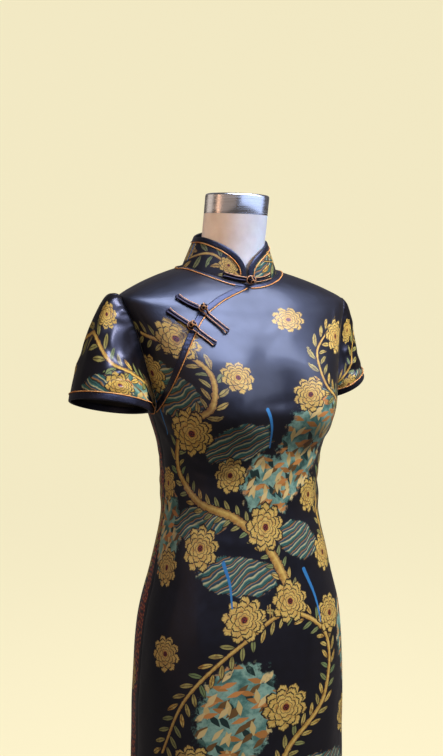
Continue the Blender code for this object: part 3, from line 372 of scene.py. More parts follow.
# ------------------------------------------------------------------ finer creases and the print
# Soft creases on top of the main folds, in the same columns. A negative depth is a trough.
CREASES = (
    (-24, 1.136, -18, 0.024, 0.004, -0.0014), (-36, 1.122, -32, 0.019, 0.0035, 0.0012),
    (-44, 1.141, -40, 0.022, 0.0042, -0.0013), (-14, 1.118, -6, 0.028, 0.0046, 0.001),
    (-52, 1.11, -22, 0.026, 0.004, 0.0014), (-30, 1.098, -12, 0.031, 0.005, -0.0012),
    (12, 1.124, 10, 0.03, 0.0052, -0.001), (27, 1.139, 28, 0.022, 0.0042, 0.0012),
    (40, 1.112, 16, 0.027, 0.0045, -0.0013), (52, 1.128, 34, 0.018, 0.0038, 0.0011),
    (66, 1.098, 12, 0.03, 0.0048, -0.0013), (34, 1.083, 5, 0.033, 0.006, 0.001),
    (-70, 1.088, -16, 0.028, 0.005, -0.0014), (-10, 1.068, 4, 0.036, 0.0062, 0.0009),
    (76, 1.172, 52, 0.02, 0.0042, -0.0014), (70, 1.204, 40, 0.017, 0.0036, 0.0011),
    (-74, 1.186, -50, 0.021, 0.0044, -0.0013), (-68, 1.214, -38, 0.016, 0.0038, 0.001),
    (58, 1.238, 22, 0.019, 0.004, -0.0008), (-58, 1.244, -25, 0.021, 0.0044, -0.0008),
    (62, 1.322, 62, 0.022, 0.005, -0.0008), (-60, 1.318, -60, 0.024, 0.0052, -0.0008),
    (-47, 1.352, -72, 0.017, 0.0048, 0.0007), (-8, 1.352, -48, 0.02, 0.006, 0.0006),
    (4, 1.205, 3, 0.034, 0.0075, 0.0009), (-6, 1.222, -6, 0.026, 0.006, -0.0006),
    (-16, 1.13, -38, 0.01, 0.0026, 0.0013), (-24, 1.117, -30, 0.009, 0.0024, 0.0011),
    (-20, 1.142, -48, 0.011, 0.0024, -0.001), (-30, 1.128, -52, 0.008, 0.0022, 0.0009),
    (24, 1.01, 7, 0.04, 0.007, 0.001), (-40, 1.02, -9, 0.043, 0.0072, 0.0012),
    (58, 1.04, 14, 0.03, 0.0055, -0.0011), (-72, 1.036, -12, 0.029, 0.0055, -0.0012),
    (44, 0.9, 74, 0.06, 0.012, 0.0014), (-22, 0.88, 100, 0.072, 0.013, 0.0012),
    (-62, 0.86, 84, 0.066, 0.012, 0.0015), (8, 0.7, 96, 0.09, 0.016, 0.0018),
    (62, 0.66, 80, 0.082, 0.015, 0.0016), (-44, 0.64, 92, 0.095, 0.017, -0.0017),
    (26, 0.45, 88, 0.06, 0.014, -0.0016), (-8, 0.43, 94, 0.05, 0.013, 0.0014),
    (104, 1.118, 24, 0.026, 0.0048, -0.0013), (112, 1.092, 10, 0.034, 0.0056, 0.0012),
    (132, 1.118, 14, 0.031, 0.0055, -0.0013), (146, 1.07, 5, 0.038, 0.0064, -0.0012),
    (164, 1.096, -7, 0.03, 0.0056, 0.0011), (184, 1.062, 2, 0.04, 0.007, -0.0011),
    (197, 1.11, -12, 0.032, 0.0052, 0.0012), (212, 1.086, -9, 0.036, 0.0058, -0.0013),
    (228, 1.12, -24, 0.028, 0.005, 0.0012), (246, 1.1, -16, 0.027, 0.005, -0.0013),
    (118, 1.246, 46, 0.024, 0.005, -0.001), (241, 1.24, -44, 0.026, 0.0052, -0.0011),
    (140, 1.33, 64, 0.03, 0.007, 0.0009), (222, 1.322, -62, 0.027, 0.0066, 0.0009),
    (172, 1.29, 84, 0.04, 0.009, -0.0007), (160, 0.88, 86, 0.075, 0.013, 0.0015),
    (205, 0.86, 93, 0.08, 0.014, -0.0014), (136, 0.66, 84, 0.09, 0.015, 0.0016),
    (190, 0.6, 91, 0.1, 0.017, 0.0017), (236, 0.68, 97, 0.085, 0.015, -0.0016),
)

# Creases of the sleeves, in their folds' columns.
SLEEVE_CREASES = (
    (70, 0.62, 28, 0.021, 0.0038, -0.0016), (112, 0.66, 38, 0.023, 0.0048, 0.0026),
    (102, 0.8, 30, 0.017, 0.0044, 0.002), (116, 0.76, 36, 0.022, 0.0036, -0.0018),
    (104, 0.4, 52, 0.01, 0.0036, 0.0014), (134, 0.16, 62, 0.009, 0.0036, 0.0012),
    (138, 0.9, 12, 0.012, 0.004, 0.0014), (128, 0.52, -20, 0.02, 0.0042, -0.0014),
    (152, 0.36, 66, 0.019, 0.0046, 0.0013), (164, 0.66, -12, 0.026, 0.005, -0.0014),
    (186, 0.44, 80, 0.022, 0.005, 0.0012), (206, 0.72, 15, 0.024, 0.0046, 0.0015),
    (226, 0.4, -58, 0.02, 0.0044, -0.0014), (246, 0.6, -24, 0.023, 0.0042, 0.0014),
    (282, 0.52, -36, 0.019, 0.004, -0.0015), (318, 0.6, -10, 0.02, 0.004, 0.0014),
    (28, 0.55, 18, 0.02, 0.004, -0.0014), (48, 0.72, 24, 0.017, 0.0036, 0.0013),
)

# The print lies in flat coordinates in metres. On the body, across is the turn times this radius.
# Blooms: place (across, up), radius and turn.
PRINT_RADIUS = 0.155
SLEEVE_PRINT_RADIUS = 0.062
SLEEVE_PRINT_LENGTH = 0.15
SLEEVE_PRINT_START = {"right": 0.0, "left": 0.031}
COLLAR_PRINT_RADIUS = 0.06
BODY_BLOOMS = (
    (0.128, 1.318, 0.036, 0.3), (0.196, 1.262, 0.031, 1.4), (0.062, 1.262, 0.026, 2.2),
    (0.15, 1.176, 0.038, 0.8), (0.078, 1.112, 0.03, 2.9), (0.01, 1.03, 0.039, 0.1),
    (0.222, 1.094, 0.028, 2.1), (0.128, 1.004, 0.036, 1.7), (-0.096, 1.068, 0.03, 0.9),
    (-0.05, 1.232, 0.029, 2.5), (-0.15, 1.19, 0.03, 0.5), (-0.036, 1.358, 0.026, 1.1),
    (-0.126, 1.318, 0.032, 2.4), (-0.124, 0.972, 0.032, 1.2), (0.2, 0.97, 0.031, 2), (0.05, 0.9, 0.036, 0.6),
    (-0.105, 0.88, 0.033, 2.4), (0.17, 0.85, 0.029, 1.9), (-0.2, 0.96, 0.031, 0.2), (-0.01, 0.76, 0.038, 1.3),
    (0.12, 0.69, 0.034, 2.8), (-0.15, 0.7, 0.035, 0.7), (0.03, 0.57, 0.04, 2), (-0.09, 0.51, 0.036, 1.5),
    (0.18, 0.53, 0.032, 0.4), (-0.21, 0.56, 0.03, 2.6), (0.1, 0.43, 0.037, 1.0), (0.29, 1.29, 0.028, 0.9),
    (0.36, 1.18, 0.034, 2.3), (0.45, 1.3, 0.033, 0.2), (0.54, 1.2, 0.03, 1.6), (0.62, 1.31, 0.028, 2.9),
    (0.68, 1.13, 0.027, 0.6), (0.3, 1.03, 0.031, 1.2), (0.41, 0.96, 0.036, 0.4), (0.52, 1.05, 0.032, 2.7),
    (0.64, 0.96, 0.033, 1.8), (0.29, 0.79, 0.03, 0.1), (0.38, 0.7, 0.038, 1.4), (0.5, 0.81, 0.034, 2.2),
    (0.61, 0.72, 0.036, 0.8), (0.7, 0.85, 0.028, 1.1), (0.31, 0.5, 0.034, 2.5), (0.44, 0.55, 0.037, 0.3),
    (0.56, 0.47, 0.035, 1.7), (0.67, 0.58, 0.033, 2), (-0.026, 0.916, 0.034, 0.9),
)
SLEEVE_BLOOMS = (
    (0.112, 0.118, 0.024, 0.6), (0.165, 0.04, 0.02, 2), (0.226, 0.106, 0.026, 1.2), (0.29, 0.046, 0.022, 2.7),
    (0.052, 0.05, 0.021, 0.2), (0.34, 0.12, 0.02, 1.7),
)
COLLAR_BLOOMS = (
    (0.03, 0.021, 0.014, 0.4), (-0.028, 0.027, 0.012, 1.8), (0.1, 0.024, 0.016, 2.6),
    (0.17, 0.02, 0.014, 1.0), (0.245, 0.026, 0.016, 0.1), (0.31, 0.022, 0.014, 2.2),
)

# Flowering branches, each a row of points (across, up) with half its thickness.
BODY_BRANCHES = (
    (0.008, ((-0.03, 0.93), (0.008, 1.0), (0.07, 1.048), (0.14, 1.074), (0.186, 1.124), (0.166, 1.184),
     (0.11, 1.218), (0.098, 1.268), (0.136, 1.304), (0.196, 1.322))),
    (0.0048, ((-0.18, 0.93), (-0.142, 1.0), (-0.128, 1.07), (-0.15, 1.14), (-0.128, 1.21), (-0.08, 1.246),
     (-0.07, 1.296), (-0.11, 1.336))),
    (0.006, ((-0.18, 0.4), (-0.13, 0.48), (-0.05, 0.53), (0.01, 0.6), (-0.01, 0.69), (-0.08, 0.76),
     (-0.09, 0.85), (-0.02, 0.9), (0.06, 0.86), (0.13, 0.79), (0.17, 0.7))),
    (0.0055, ((0.14, 0.36), (0.18, 0.45), (0.15, 0.54), (0.2, 0.62))),
    (0.0062, ((0.27, 0.64), (0.33, 0.72), (0.33, 0.83), (0.4, 0.92), (0.48, 0.94), (0.52, 1.03),
     (0.48, 1.12), (0.5, 1.23), (0.58, 1.28), (0.66, 1.25))),
    (0.0055, ((0.3, 0.94), (0.27, 1.04), (0.31, 1.14), (0.37, 1.22), (0.35, 1.31))),
    (0.0058, ((0.62, 0.38), (0.56, 0.48), (0.5, 0.56), (0.54, 0.66), (0.62, 0.74), (0.69, 0.82),
     (0.7, 0.93))),
    (0.0052, ((0.33, 0.38), (0.39, 0.47), (0.45, 0.52))),
)
SLEEVE_BRANCHES = (
    (0.004, ((0.04, 0.02), (0.08, 0.07), (0.13, 0.09), (0.18, 0.07), (0.23, 0.09), (0.3, 0.08),
     (0.35, 0.13))),
)
COLLAR_BRANCHES = (
    (0.002, ((0.012, 0.008), (0.05, 0.028), (0.1, 0.012), (0.15, 0.03), (0.2, 0.014), (0.25, 0.032),
     (0.3, 0.014), (0.35, 0.03))),
)

# Slim bright strokes (across, up), from one end to the other, with half their width.
BODY_STROKES = (
    (0.0032, ((0.024, 1.214), (0.014, 1.186), (0.01, 1.15))),
    (0.0028, ((0.212, 1.222), (0.206, 1.198), (0.208, 1.168))),
    (0.003, ((0.086, 0.985), (0.074, 0.955), (0.068, 0.915))),
    (0.0034, ((-0.06, 0.96), (-0.074, 0.92), (-0.08, 0.87))),
    (0.0032, ((0.12, 0.62), (0.102, 0.59), (0.094, 0.55))),
    (0.0034, ((0.4, 1.33), (0.414, 1.29), (0.42, 1.24))),
    (0.0032, ((0.59, 1.14), (0.604, 1.1), (0.61, 1.05))),
    (0.0034, ((0.46, 0.76), (0.446, 0.72), (0.44, 0.67))),
)

COLLAR_STROKES = (
    (0.0024, ((0.1, 0.04), (0.094, 0.026), (0.092, 0.01))),
)

# Soft-edged areas of the print: kind, place (across, up), half sizes and turn of an ellipse.
AREA_KINDS = ("drifts", "ripples", "sprigs")
BODY_AREAS = (
    ("drifts", -0.066, 1.158, 0.058, 0.092, 0.2), ("drifts", 0.004, 1.092, 0.058, 0.052, 0.5),
    ("drifts", 0.216, 1.022, 0.042, 0.07, -0.1), ("drifts", 0.06, 0.76, 0.06, 0.085, 0.2),
    ("drifts", -0.17, 0.82, 0.045, 0.08, -0.2), ("drifts", 0.45, 1.2, 0.06, 0.09, 0.2),
    ("drifts", 0.59, 0.86, 0.055, 0.08, -0.2), ("drifts", 0.36, 0.6, 0.05, 0.075, 0.1),
    ("ripples", 0.172, 1.236, 0.054, 0.042, 0.4), ("ripples", 0.07, 1.16, 0.062, 0.03, -0.2),
    ("ripples", 0.138, 1.04, 0.062, 0.026, -0.12), ("ripples", -0.08, 0.62, 0.08, 0.05, 0.3),
    ("ripples", 0.11, 0.48, 0.075, 0.06, -0.2), ("ripples", 0.56, 1.33, 0.06, 0.05, 0.3),
    ("ripples", 0.42, 1.04, 0.085, 0.036, -0.1), ("ripples", 0.64, 0.64, 0.07, 0.045, 0.2),
    ("ripples", -0.15, 0.44, 0.06, 0.05, 0.1), ("ripples", 0.47, 0.42, 0.08, 0.04, 0.0),
    ("ripples", 0.06, 0.962, 0.07, 0.03, 0.15), ("ripples", -0.062, 1.004, 0.05, 0.03, 0.3),
    ("sprigs", 0.268, 1.06, 0.018, 0.15, 0.0), ("sprigs", 0.268, 0.86, 0.018, 0.15, 0.0),
    ("sprigs", 0.268, 0.64, 0.018, 0.15, 0.0), ("sprigs", 0.268, 0.46, 0.018, 0.12, 0.0),
)
SLEEVE_AREAS = (
    ("ripples", 0.262, 0.07, 0.034, 0.046, 0.4), ("drifts", 0.082, 0.1, 0.03, 0.034, 0.2),
    ("ripples", 0.13, 0.128, 0.04, 0.018, 0.1), ("drifts", 0.33, 0.08, 0.026, 0.05, 0.0),
)
COLLAR_AREAS = (
    ("ripples", 0.35, 0.024, 0.03, 0.026, 0.2), ("drifts", 0.2, 0.022, 0.04, 0.02, 0.0),
)


def monotone_slopes(x, y):
    """Slopes at the knots of a smooth curve that never overshoots its points."""
    steps = np.diff(y) / np.diff(x)
    slopes = np.zeros_like(y)
    slopes[0], slopes[-1] = steps[0], steps[-1]
    widths = np.diff(x)
    for i in range(1, len(x) - 1):
        if steps[i - 1] * steps[i] > 0:
            before = 2 * widths[i] + widths[i - 1]
            after = widths[i] + 2 * widths[i - 1]
            slopes[i] = (before + after) / (before / steps[i - 1] + after / steps[i])
    return slopes


def curve_at(x, y, slopes, at):
    """Height of a smooth curve through points with these slopes."""
    at = np.clip(at, x[0], x[-1])
    i = np.clip(np.searchsorted(x, at, side="right") - 1, 0, len(x) - 2)
    width = x[i + 1] - x[i]
    t = (at - x[i]) / width
    start = (2 * t**3 - 3 * t**2 + 1) * y[i] + (t**3 - 2 * t**2 + t) * width * slopes[i]
    end = (3 * t**2 - 2 * t**3) * y[i + 1] + (t**3 - t**2) * width * slopes[i + 1]
    return start + end


def smooth_curve(x, y, at):
    return curve_at(x, y, monotone_slopes(x, y), at)


def section_curves():
    """Each size at close heights, averaged over a short reach so that no row of the table shows."""
    rows, *sizes = np.array(SECTIONS).T
    heights = np.linspace(HEM, NECKLINE, SECTION_COUNT)
    reach = np.minimum(SECTION_BLEND, np.minimum(heights - HEM, NECKLINE - heights))
    offsets = np.linspace(-1, 1, 11)
    weights = 1.1 - np.abs(offsets)
    curves = {}
    for name, size in zip(SECTION_COLUMNS, sizes):
        around = smooth_curve(rows, size, heights[:, None] + reach[:, None] * offsets)
        blended = around @ weights / weights.sum()
        curves[name] = (heights, blended, np.gradient(blended, heights))
    return curves


SECTION_CURVES = section_curves()


def section(name, height):
    """One of the dress's sizes at a height."""
    return curve_at(*SECTION_CURVES[name], height)


def plain_body(turn, height):
    """Points on the fitted shape, without folds."""
    turn, height = np.broadcast_arrays(turn, height)
    sideways, forward = -np.sin(turn), -np.cos(turn)
    power = section("squareness", height)
    reach = (np.abs(sideways) ** power + np.abs(forward) ** power) ** (-1 / power)
    depth = np.where(forward < 0, section("front", height), section("back", height))
    x = section("half_width", height) * sideways * reach
    y = depth * forward * reach + section("set_back", height)
    tilt = np.where(forward < 0, -section("front_drop", height), section("back_rise", height))
    z = height + tilt * forward**2
    spread = np.where(z > CUP_HEIGHT, CUP_ABOVE, CUP_BELOW)
    from_cup = np.hypot(x, CUP_BRIDGE) - CUP_SIDEWAYS
    cup = np.exp(-0.5 * (from_cup / CUP_SPREAD) ** 2 - 0.5 * ((z - CUP_HEIGHT) / spread) ** 2)
    y = y - np.clip(-1.6 * forward, 0, 1) * CUP_DEPTH * cup
    return np.stack([x, y, z], -1)


def unit(vectors):
    """The same directions with length 1."""
    return vectors / np.linalg.norm(vectors, axis=-1, keepdims=True)


def round_turns(count):
    """This many angles, evenly spaced once round."""
    return np.linspace(0, 2 * math.pi, count, endpoint=False)


def turn_difference(turn, centre):
    """The shortest way round from a centre to a turn."""
    return (turn - centre + math.pi) % (2 * math.pi) - math.pi


def crease_lift(first, second, level_reach, up_reach, table):
    """Height of the table's folds at places given by an angle and a level."""
    lift = np.zeros(np.shape(first))
    for place, level, direction, half_length, half_width, depth in table:
        level_way = turn_difference(first, math.radians(place)) * level_reach
        up_way = (second - level) * up_reach
        cos, sin = math.cos(math.radians(direction)), math.sin(math.radians(direction))
        along, across = level_way * cos + up_way * sin, up_way * cos - level_way * sin
        lift = lift + depth * np.exp(-0.5 * (across / half_width) ** 2 - 0.5 * (along / half_length) ** 2)
    return lift


def body(turn, height):
    """Points on the outer face of the dress."""
    points = plain_body(turn, height)
    reach = np.hypot(points[..., 0], points[..., 1])
    raised = crease_lift(turn, height, reach, 1.0, FOLDS)
    points[..., 0] += raised * points[..., 0] / reach
    points[..., 1] += raised * points[..., 1] / reach
    return points


def collar_surface(turn, share):
    """Outer face of the stand collar: share 0 is its seam, 1 the height of its top edge."""
    turn, share = np.broadcast_arrays(turn, share)
    foot = plain_body(turn, NECKLINE)
    top = np.stack([
        -COLLAR_TOP_SIDE * np.sin(turn),
        -COLLAR_TOP_FRONT * np.cos(turn) + COLLAR_TOP_SET_BACK,
        foot[..., 2] + COLLAR_HEIGHT,
    ], -1)
    return foot + (top - foot) * share[..., None]


def cuff_ring(side, around):
    """Points of a sleeve's open edge and the direction in which the sleeve points there."""
    cuff, sign = CUFFS[side], SIDE_SIGN[side]
    axis = unit(np.array([sign * math.sin(cuff["lean"]), -cuff["tilt"], -math.cos(cuff["lean"])]))
    outward = unit(np.cross([0.0, -sign, 0.0], axis))
    forward = np.cross(axis, outward) * sign
    forward = forward * -np.sign(forward[1])
    points = (
        np.array(cuff["centre"])
        - np.cos(around)[..., None] * cuff["half_width"] * outward
        + np.sin(around)[..., None] * cuff["half_depth"] * forward
    )
    return points, axis


def armhole_levels():
    """Heights up the armhole, spaced evenly along its edge."""
    share = np.linspace(-1, 1, 801)
    width = armhole_width(share)
    height = (ARMHOLE_LOW + ARMHOLE_HIGH) / 2 + share * (ARMHOLE_HIGH - ARMHOLE_LOW) / 2
    reach = section("half_width", height)
    steps = np.hypot(np.diff(height), np.diff(width) * reach[1:] * ARMHOLE_FRONT)
    length = np.concatenate([[0], np.cumsum(steps)])
    even = np.linspace(0, length[-1], ARMHOLE_STEPS + 1)
    return np.interp(even, length, height)


def armhole_width(share):
    """Width of the armhole, as a share of its most, at a height from -1 (bottom) to 1 (top)."""
    return np.clip(1 - np.abs(share) ** ARMHOLE_SQUARENESS, 0, 1) ** (1 / ARMHOLE_SQUARENESS)


def armhole_turn(height, widest):
    """How far in turn the armhole's edge lies from the side seam."""
    share = (2 * height - ARMHOLE_LOW - ARMHOLE_HIGH) / (ARMHOLE_HIGH - ARMHOLE_LOW)
    return widest * armhole_width(np.clip(share, -1, 1))


LEVELS = armhole_levels()


def armhole_ring(side, around):
    """Points of the armhole edge, where around goes from the underarm over the front and the top."""
    around = np.asarray(around, float) % (2 * math.pi)
    behind = around > math.pi
    climb = np.where(behind, 2 * math.pi - around, around) / math.pi
    height = np.interp(climb, np.linspace(0, 1, len(LEVELS)), LEVELS)
    front = SIDE - armhole_turn(height, ARMHOLE_FRONT)
    back = SIDE + armhole_turn(height, ARMHOLE_BACK)
    turn = np.where(behind, back, front)
    return plain_body(-SIDE_SIGN[side] * turn, height)


def sleeve_length(side, around):
    """Straight length of a sleeve from armhole to cuff, at each place round it."""
    return np.linalg.norm(cuff_ring(side, around)[0] - armhole_ring(side, around), axis=-1)


def cuff_line(side, count, distance):
    """A line round a sleeve, this far from its cuff's edge: its surface, and places round and along it."""
    around = round_turns(count)
    return sleeve_surface(side), around, 1 - distance / sleeve_length(side, around)


def sleeve_surface(side):
    """Surface function of a sleeve: around the arm, and along it from armhole (0) to cuff (1)."""
    sign = SIDE_SIGN[side]

    def surface(around, along):
        around, along = np.broadcast_arrays(around, along)
        start = armhole_ring(side, around)
        end, axis = cuff_ring(side, around)
        top = (1 - np.cos(around)) / 2
        leave = unit(np.stack([np.full(top.shape, float(sign)), np.zeros(top.shape), -0.15 * top], -1))
        chord = np.linalg.norm(end - start, axis=-1, keepdims=True)
        underarm = ((1 - top) ** 4)[..., None]
        arrive = axis * (1 - underarm) + (end - start) / chord * underarm
        t = along[..., None]
        reach = SLEEVE_HEAD_REACH + SLEEVE_HEAD_FULLNESS * top[..., None] ** 3
        past_peak = t / SLEEVE_PUFF_AT
        puff = SLEEVE_PUFF[side] * top[..., None] ** 4 * past_peak * np.exp(1 - past_peak)
        points = (
            puff * np.array([0.75 * sign, 0, 0.66])
            + (2 * t**3 - 3 * t**2 + 1) * start
            + (t**3 - 2 * t**2 + t) * leave * chord * reach
            + (3 * t**2 - 2 * t**3) * end
            + (t**3 - t**2) * arrive * chord * SLEEVE_CUFF_REACH
        )
        middle = start.reshape(-1, 3).mean(0) * (1 - t) + np.array(CUFFS[side]["centre"]) * t
        outward = unit(points - middle)
        raised = crease_lift(around, along, CUFFS[side]["half_depth"], chord[..., 0], SLEEVE_FOLDS)
        fade = np.clip(4 * along, 0, 1) * np.clip(5 * (1 - along), 0, 1)
        return points + outward * (raised * fade)[..., None]

    surface.facing = sign
    return surface


def tangents(surface, first, second):
    """The surface's rates of change along its two coordinates."""
    first, second = np.broadcast_arrays(first, second)
    before, after = surface(first - FIRST_STEP, second), surface(first + FIRST_STEP, second)
    lower, here = surface(first, second - SECOND_STEP), surface(first, second)
    return (after - before) / (2 * FIRST_STEP), (here - lower) / SECOND_STEP


def outward_normal(surface, first, second):
    """The direction that faces off the surface."""
    along_first, along_second = tangents(surface, first, second)
    return unit(np.cross(along_second, along_first) * getattr(surface, "facing", 1))


def surface_line(surface, first, second, lift):
    """Points this far outside the surface, or inside it where lift is negative, and the direction off it."""
    normals = outward_normal(surface, first, second)
    return surface(first, second) + normals * np.asarray(lift, float)[..., None], normals


def directions_along(points, closed=False):
    """The direction of travel at each point of a line."""
    if closed:
        difference = np.roll(points, -1, axis=0) - np.roll(points, 1, axis=0)
    else:
        difference = np.gradient(points, axis=0)
    return unit(difference)


def stepped(surface, first, second, step):
    """The place on a surface after a small step in space."""
    system = np.stack(tangents(surface, first, second), -1)
    change = np.einsum("...ij,...j->...i", np.linalg.pinv(system), step)
    return first + change[..., 0], second + change[..., 1]


def moved_across(surface, first, second, distance, closed=False, steps=3):
    """Moves a line sideways over the surface, to the left of its travel seen from outside."""
    for _ in range(steps):
        travel = directions_along(surface(first, second), closed)
        step = np.cross(outward_normal(surface, first, second), travel) * distance / steps
        first, second = stepped(surface, first, second, step)
    return first, second


def evenly_spaced(surface, first, second, count):
    """The same line with this many points, equally far apart."""
    points = surface(first, second)
    length = np.concatenate([[0], np.cumsum(np.linalg.norm(np.diff(points, axis=0), axis=1))])
    even = np.linspace(0, length[-1], count)
    return np.interp(even, length, first), np.interp(even, length, second)


def opening_lines():
    """The piping line and the opening's edge above it, from the armhole up to the neck."""
    heights, turns = np.array(OPENING[::-1]).T
    along = np.linspace(0, 1, 49)
    knots = np.linspace(0, 1, len(heights))
    line = (smooth_curve(knots, np.radians(turns), along), smooth_curve(knots, heights, along))
    return line, moved_across(plain_body, *line, BINDING_WIDTH)


PIPING_LINE, OPENING_EDGE = opening_lines()


def gap_turn(height, gap=SEAM_GAP / 2):
    """The turn that a gap takes up at the side of the section at this height."""
    return gap / section("front", height)


def side_allowance(height):
    """Turn kept free at each side seam, which opens into a slit below SLIT_TOP."""
    open_share = np.clip((SLIT_TOP - height) / (SLIT_TOP - HEM), 0, 1)
    return gap_turn(height, SEAM_GAP / 2 + SLIT_GAP * open_share**1.5)


def side_edge(height, widest):
    """Turn from the centre of the front or back to the panel's side edge."""
    return SIDE - armhole_turn(height, widest) - side_allowance(height)


def opening_turn(height):
    """Turn of the opening's edge, which runs out in a narrow tip at the armhole."""
    edge = np.interp(height, OPENING_EDGE[1], OPENING_EDGE[0])
    return np.minimum(edge, side_edge(height, ARMHOLE_FRONT) - OPENING_TIP)


OPENING_LOW = LEVELS[1] - 1e-5


def neck_edge_height(turn):
    """Height at which the binding round the neck ends, at this turn."""
    turns = np.linspace(0, 2 * math.pi, 121)
    line = moved_across(plain_body, turns, np.full(turns.shape, NECKLINE), BINDING_WIDTH, steps=4)
    return np.interp(np.mod(turn, 2 * math.pi), line[0], line[1], period=2 * math.pi)


def piping_turn(height):
    """Turn of the opening's piping at a height."""
    return np.interp(height, PIPING_LINE[1], PIPING_LINE[0])


def front_right_edge(height):
    """Turn of the front's right edge: its side seam, then the curved opening."""
    opening = opening_turn(height) - gap_turn(height)
    return np.where(height < OPENING_LOW, side_edge(height, ARMHOLE_FRONT), opening)


def collar_share(turns):
    """Height of the top edge as a share of the collar's, rounded down at the front corners."""
    from_front = np.abs(turn_difference(turns, COLLAR_MIDDLE)) - COLLAR_GAP
    climb = np.clip(1 - from_front / COLLAR_ROUND, 0, 1)
    rounded = (1 - climb**CORNER_POWER) ** (1 / CORNER_POWER)
    low = COLLAR_FRONT_EDGE / COLLAR_HEIGHT
    return low + (1 - low) * rounded


def neck_line(distance):
    """A line round the neck on the dress, this far below the neckline, open at the centre front."""
    turns = np.linspace(*COLLAR_ENDS, NECK_STATIONS)
    return moved_across(plain_body, turns, np.full(turns.shape, NECKLINE), distance)


def hem_lines(distance, middle, count):
    """A line inside the edge of the half with this middle: down one slit, along the hem and up the other."""
    across = distance / section("front", HEM)
    heights = np.linspace(SLIT_TOP, HEM + 2 * BINDING_WIDTH, 6)
    limit = float(side_edge(HEM, 0))
    panel_turns, corner = np.linspace(limit, -limit, count), limit - across
    side = side_edge(heights, 0) - across
    turns = np.concatenate([side, np.clip(panel_turns, -corner, corner), -side[::-1]])
    rows = np.concatenate([heights, np.full(count, HEM + distance), heights[::-1]])
    return turns + middle, rows


def frog_places(surface, knot, tail, along, across, lift):
    """Points given by their distances from the knot towards a tail, sideways and off the surface."""
    knot, tail = np.array(knot, float), np.array(tail, float)
    ends = surface(np.array([knot[0], tail[0]]), np.array([knot[1], tail[1]]))
    share = np.asarray(along, float) / np.linalg.norm(ends[1] - ends[0])
    first = knot[0] + (tail[0] - knot[0]) * share
    second = knot[1] + (tail[1] - knot[1]) * share
    along_first, along_second = tangents(surface, first, second)
    travel = along_first * (tail[0] - knot[0]) + along_second * (tail[1] - knot[1])
    sideways = unit(np.cross(outward_normal(surface, first, second), travel))
    place = stepped(surface, first, second, sideways * np.asarray(across)[..., None])
    return surface_line(surface, *place, lift)


# ------------------------------------------------------------------ cloth shapes
def slack(first, second, size):
    """The slight unevenness of hung satin, from a few long waves that don't line up."""
    return size * sum(share * np.sin(level * first + rise * second + start)
                      for share, level, rise, start in SLACK_WAVES)


def body_lift(turn, height):
    """How far the finished cloth stands off the plain shape of its solid."""
    reach = section("half_width", height)
    lift = crease_lift(turn, height, reach, 1.0, CREASES) + slack(turn, height, SLACK)
    side = np.abs(np.abs(turn_difference(turn, 0)) - SIDE) * reach
    puckers = 0.5 + 0.5 * np.sin(230 * height + 3 * np.sin(37 * height))
    seam = -SEAM_DITCH * np.exp(-side / SEAM_REACH) * (0.6 + 0.8 * puckers)
    fade = np.clip((NECKLINE - height) / 0.09, 0, 1)
    fade = fade**2 * (3 - 2 * fade)
    return lift * fade + seam * np.clip((height - SLIT_TOP) / 0.02, 0, 1)


def body_line(turns, heights, lift):
    """Points at this height off the finished cloth of the body, and the direction off it."""
    return surface_line(body, turns, heights, lift + body_lift(turns, heights))


def sleeve_lift(side, around, along):
    """Creases of a sleeve, a soft roll at its head, and puckers where it is eased into the seam."""
    lift = crease_lift(around, along, CUFFS[side]["half_depth"], SLEEVE_DOWN, SLEEVE_CREASES)
    lift = lift + slack(around, along * SLEEVE_DOWN, SLACK)
    fade = np.clip(6 * along, 0, 1) * np.clip(6 * (1 - along), 0, 1)
    top = (1 - np.cos(around)) / 2
    roll = HEAD_ROLL * top * (along / 0.06) * np.exp(1 - along / 0.06)
    eased = np.sin(34 * around + 2.2 * np.sin(5 * around + 1)) + 0.7 * np.sin(57 * around + 0.8)
    puckers = PUCKER * eased * np.exp(-along / 0.09) * np.clip(along / 0.015, 0, 1) * (0.35 + top)
    return lift * fade + roll + puckers


def piece_mesh(name, points, faces):
    """A mesh of these points and faces, shaded smooth."""
    mesh = bpy.data.meshes.new(name)
    mesh.from_pydata(points.tolist(), [], faces.tolist() if hasattr(faces, "tolist") else faces)
    mesh.shade_smooth()
    return mesh


def mesh_volume(points, faces):
    """Signed volume of a closed mesh of quads, to tell whether it faces out."""
    corners = points[faces]
    first = np.einsum("ij,ij->i", corners[:, 0], np.cross(corners[:, 1], corners[:, 2]))
    second = np.einsum("ij,ij->i", corners[:, 0], np.cross(corners[:, 2], corners[:, 3]))
    return (first.sum() + second.sum()) / 6


def make_piece(name, mesh, slot, *materials, node=None):
    """Puts a mesh in the scene, riding on the stand, with its materials, and hides the solid it replaces. The
    slot is not used.
    """
    for finish in materials:
        mesh.materials.append(finish)
    piece = bpy.data.objects.new(name, mesh)
    bpy.context.scene.collection.objects.link(piece)
    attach(piece, "root")
    if node:
        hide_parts(node)
    return piece


def grid_faces(rows, columns, closed):
    """Quads between the points of a grid, as numbers of its flattened points."""
    across = np.arange(columns if closed else columns - 1)
    row, after = np.arange(rows - 1)[:, None] * columns, (across + 1) % columns
    corners = (row + across, row + after, row + columns + after, row + columns + across)
    return np.stack(corners, -1).reshape(-1, 4)


